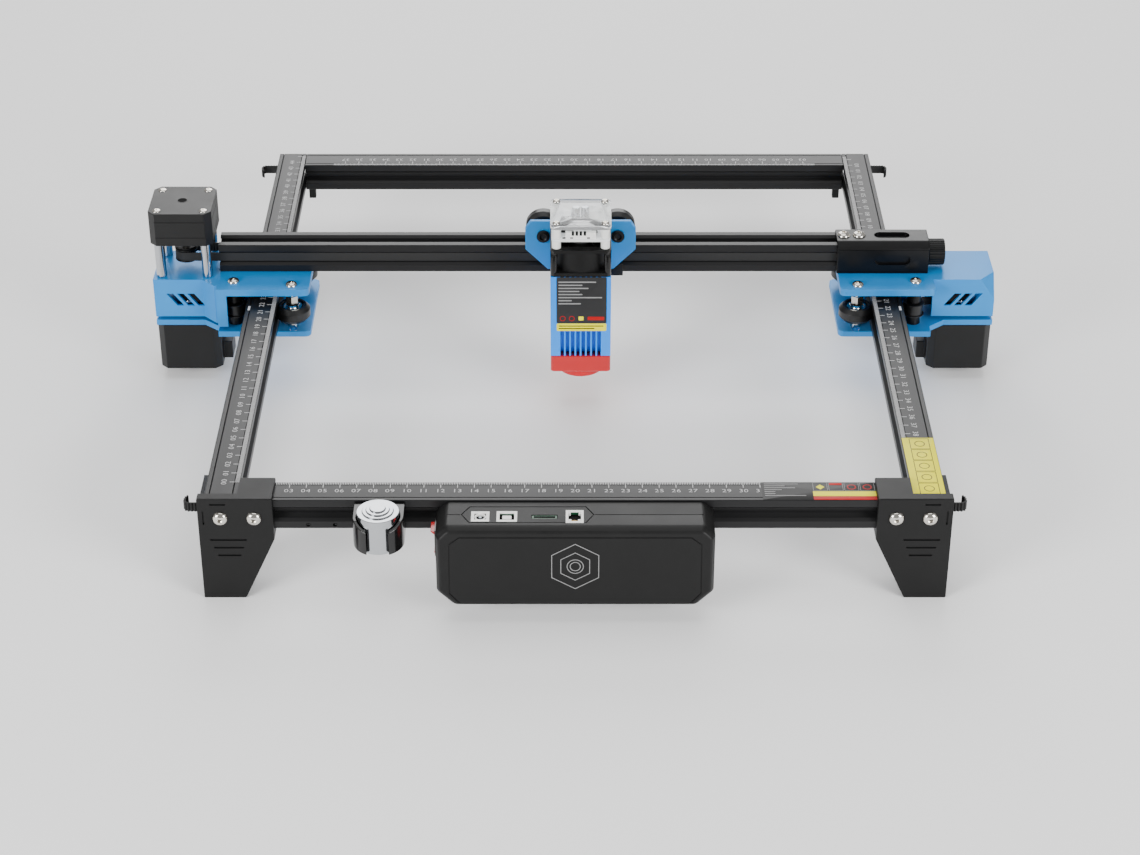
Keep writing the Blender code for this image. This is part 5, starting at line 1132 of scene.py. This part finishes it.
        shells = [block((centre.x + (x - w / 2) * mm, centre.y + (y - d / 2) * mm, boardZ + 1.5 * mm),
                        (centre.x + (x + w / 2) * mm, centre.y + (y + d / 2) * mm, boardZ + (1.6 + h) * mm),
                        0.3 * mm, 0.15 * mm, "Z", 3)
                  for (x, y), (w, d, h) in parts[group]]
        piece(name, shells, key, "laser")
    # near-black marks on the white sockets are painted shade in their openings
    pins = [block((centre.x + (i * 2.6 - 6) * mm, centre.y - 18.5 * mm, boardZ + 4.2 * mm),
                  (centre.x + (i * 2.6 - 4.4) * mm, centre.y - 16.5 * mm, boardZ + 6.6 * mm), 0.2 * mm,
                  0.1 * mm, "Z", 3)
            for i in range(4)]
    pins += [block((centre.x + x * mm, centre.y - 18.4 * mm, boardZ + 2.0 * mm),
                   (centre.x + (x + 2) * mm, centre.y - 18.0 * mm, boardZ + 2.9 * mm),
                   0.2 * mm, 0.05 * mm, "Z", 3) for x in (-12, -7, 4)]
    piece("socket_opening_shade", pins, "shadow", "laser")
    coils = [revolve(disc(2.6 * mm, boardZ + 1.5 * mm, boardZ + 8 * mm),
                     (centre.x + x * mm, centre.y + y * mm, 0), steps=36, ease=0.4 * mm) for x,
             y in ((-3, 12), (2.8, 12.2))]
    piece("board_capacitors", coils, "turned", "laser")


# stickers on the rails
def makeStickers():
    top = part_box("front_rail")[1].z
    frontLow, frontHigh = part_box("front_rail")
    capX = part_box("front_right_corner")[0].x

    def sheetOn(name, low, high, z, key, corner=0.5, body="frame"):
        piece(name, [block((low[0], low[1], z), (high[0], high[1], z + 0.08 * mm), corner * mm, 0.03 * mm)],
              key, body)

    start, middleX, endX = 110.8 * mm, 141 * mm, capX - 0.3 * mm
    y0, y1 = frontLow.y + 0.3 * mm, frontHigh.y - 0.3 * mm
    sheetOn("rail_label_black", (start, y0), (endX, y1), top, "vinylBlack")
    over = top + 0.08 * mm
    sheetOn("rail_label_red", (middleX, y0 + 0.1 * mm), (endX, y0 + 3.9 * mm), over, "vinylRed")
    sheetOn("rail_label_yellow", (middleX, y0 + 4.1 * mm), (endX, y0 + 9.3 * mm), over, "vinylYellow")
    wide = (endX - middleX) / 4
    frames = [outlineRing([(middleX + (i + 0.04) * wide, y0 + 9.9 * mm),
                           (middleX + (i + 0.96) * wide, y0 + 9.9 * mm),
                           (middleX + (i + 0.96) * wide, y1 - 0.4 * mm),
                           (middleX + (i + 0.04) * wide, y1 - 0.4 * mm)],
                          0.25 * mm, "Z", over, over + 0.05 * mm) for i in range(4)]
    piece("rail_label_frames", frames, "inkGrey", "frame")
    square = outlineSolid([(middleX + 0.5 * wide + a * mm, y0 + (14 + b) * mm) for a,
                           b in ((-2.6, 0), (0, -2.6), (2.6, 0), (0, 2.6))],
                          "Z", over, over + 0.05 * mm)
    piece("rail_label_diamond", [square], "vinylYellow", "frame")
    reds = [block((middleX + 1.1 * wide, y1 - 3.2 * mm, over),
                  (middleX + 1.9 * wide, y1 - 0.8 * mm, over + 0.05 * mm), 0.3 * mm, 0.02 * mm)]
    reds += [ring(tube(2.7 * mm, 2.1 * mm, over, over + 0.05 * mm),
                  (middleX + (i + 0.5) * wide, y0 + 14 * mm, 0), "Z", 32) for i in (2, 3)]
    piece("rail_label_marks", reds, "vinylRed", "frame")
    lines = [block((start + 1.5 * mm, y1 - (2.4 + 2.1 * i) * mm, over),
                   (start + long * mm, y1 - (1.7 + 2.1 * i) * mm, over + 0.05 * mm),
                   0.3 * mm, 0.02 * mm, "Z", 3) for i, long in enumerate((22, 14, 20, 12, 8, 8, 26))]
    piece("rail_label_lines", lines, "inkGrey", "frame")

    railLow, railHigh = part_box("right_rail")
    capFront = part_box("front_right_corner")[0].y
    x0, x1 = railLow.x + 0.3 * mm, railHigh.x - 0.4 * mm
    nearY = capFront + 7 * mm
    sheetOn("right_sticker", (x0, nearY), (x1, -154.3 * mm), top, "vinylYellow")
    cells = [outlineRing([(x0 + 4.2 * mm, y), (x1 - 3 * mm, y), (x1 - 3 * mm, y + 12 * mm),
                          (x0 + 4.2 * mm, y + 12 * mm)], 0.4 * mm, "Z",
                         top + 0.08 * mm,
                         top + 0.13 * mm) for y in (nearY + (3 + 12.6 * i) * mm for i in range(5))]
    cells += [ring(tube(3.2 * mm, 2.7 * mm, top + 0.08 * mm, top + 0.13 * mm),
                   ((x0 + x1) / 2 + 0.6 * mm, nearY + (9 + 12.6 * i) * mm, 0), "Z", 32) for i in range(5)]
    piece("right_sticker_cells", cells, "vinylBlack", "frame")
    mark = [block((x - 0.75 * mm, 8 * mm, top), (x + 0.75 * mm, 13.5 * mm, top + 0.05 * mm), 0.3 * mm,
                  0.02 * mm)
            for x in (-217.6 * mm, 217.6 * mm)]
    piece("rail_marks", mark, "ink", "frame")


# camera, light and floor
stageSpec = {"camera": (-3.06 * mm, -1.4895, 0.8924), "tilt": 58.541, "lens": 80.78,
             "sky": "f6f6f6", "skyStrength": 0.44, "floorHalf": 6, "floorPoints": 41}
softboxes = {  # place, what it points at, side, power
    "overhead": ((0, 0.1, 1.9), (0, 0, 0), 1.6, 16),
    "back": ((0, 2.0, 1.25), (0, 0, 0.05), 1.6, 36),
    "frontLeft": ((-1.5, -1.5, 0.8), (0, 0, 0.03), 0.9, 42),
    "frontRight": ((1.5, -1.5, 0.8), (0, 0, 0.03), 0.9, 42),
}


def makeStage():
    camera = bpy.data.objects.new("camera", bpy.data.cameras.new("camera"))
    camera.location = stageSpec["camera"]
    camera.rotation_euler = (math.radians(stageSpec["tilt"]), 0, 0)
    camera.data.lens, camera.data.sensor_width = stageSpec["lens"], 36
    camera.data.clip_start = 0.05
    bpy.context.scene.collection.objects.link(camera)
    bpy.context.scene.camera = camera

    world = bpy.data.worlds.new("studio")
    world.use_nodes = True
    background = world.node_tree.nodes["Background"].inputs
    background["Color"].default_value = linear(stageSpec["sky"])
    background["Strength"].default_value = stageSpec["skyStrength"]
    bpy.context.scene.world = world
    for name, (place, aim, size, power) in softboxes.items():
        lamp = bpy.data.lights.new(name, "AREA")
        lamp.size, lamp.energy = size, power
        lampObject = bpy.data.objects.new(name, lamp)
        lampObject.location = place
        lampObject.rotation_euler = (Vector(aim) - Vector(place)).to_track_quat("-Z", "Y").to_euler()
        bpy.context.scene.collection.objects.link(lampObject)

    count = stageSpec["floorPoints"]
    span = stageSpec["floorHalf"] * np.linspace(-1, 1, count)
    x, y = np.meshgrid(span, span, indexing="ij")
    mesh = bpy.data.meshes.new("floor")
    mesh.from_pydata(np.stack([x, y, 0 * x], -1).reshape(-1, 3).tolist(), [],
                     gridFaces(count, count, (False, False)).tolist())
    floor = bpy.data.objects.new("floor", mesh)
    mesh.materials.append(surface("palePaperFloor", "fdfdfd", "fafafa", (0.8, 0.9), 0, 400, 5, 0.02))
    bpy.context.scene.collection.objects.link(floor)


makeStage()
print("stage set")
makeRails()
makeScales()
makeStickers()
print("rails and scales made")
makeCorners()
makeControlBox()
makeGauge()
print("frame pieces made")
makeBelts()
makeWheels()
makePulleys()
makeKnob()
makeMotors()
makeGantryPlates()
makeTensioner()
print("gantry made")
makeCarriage()
makeLaser()
print("laser made")
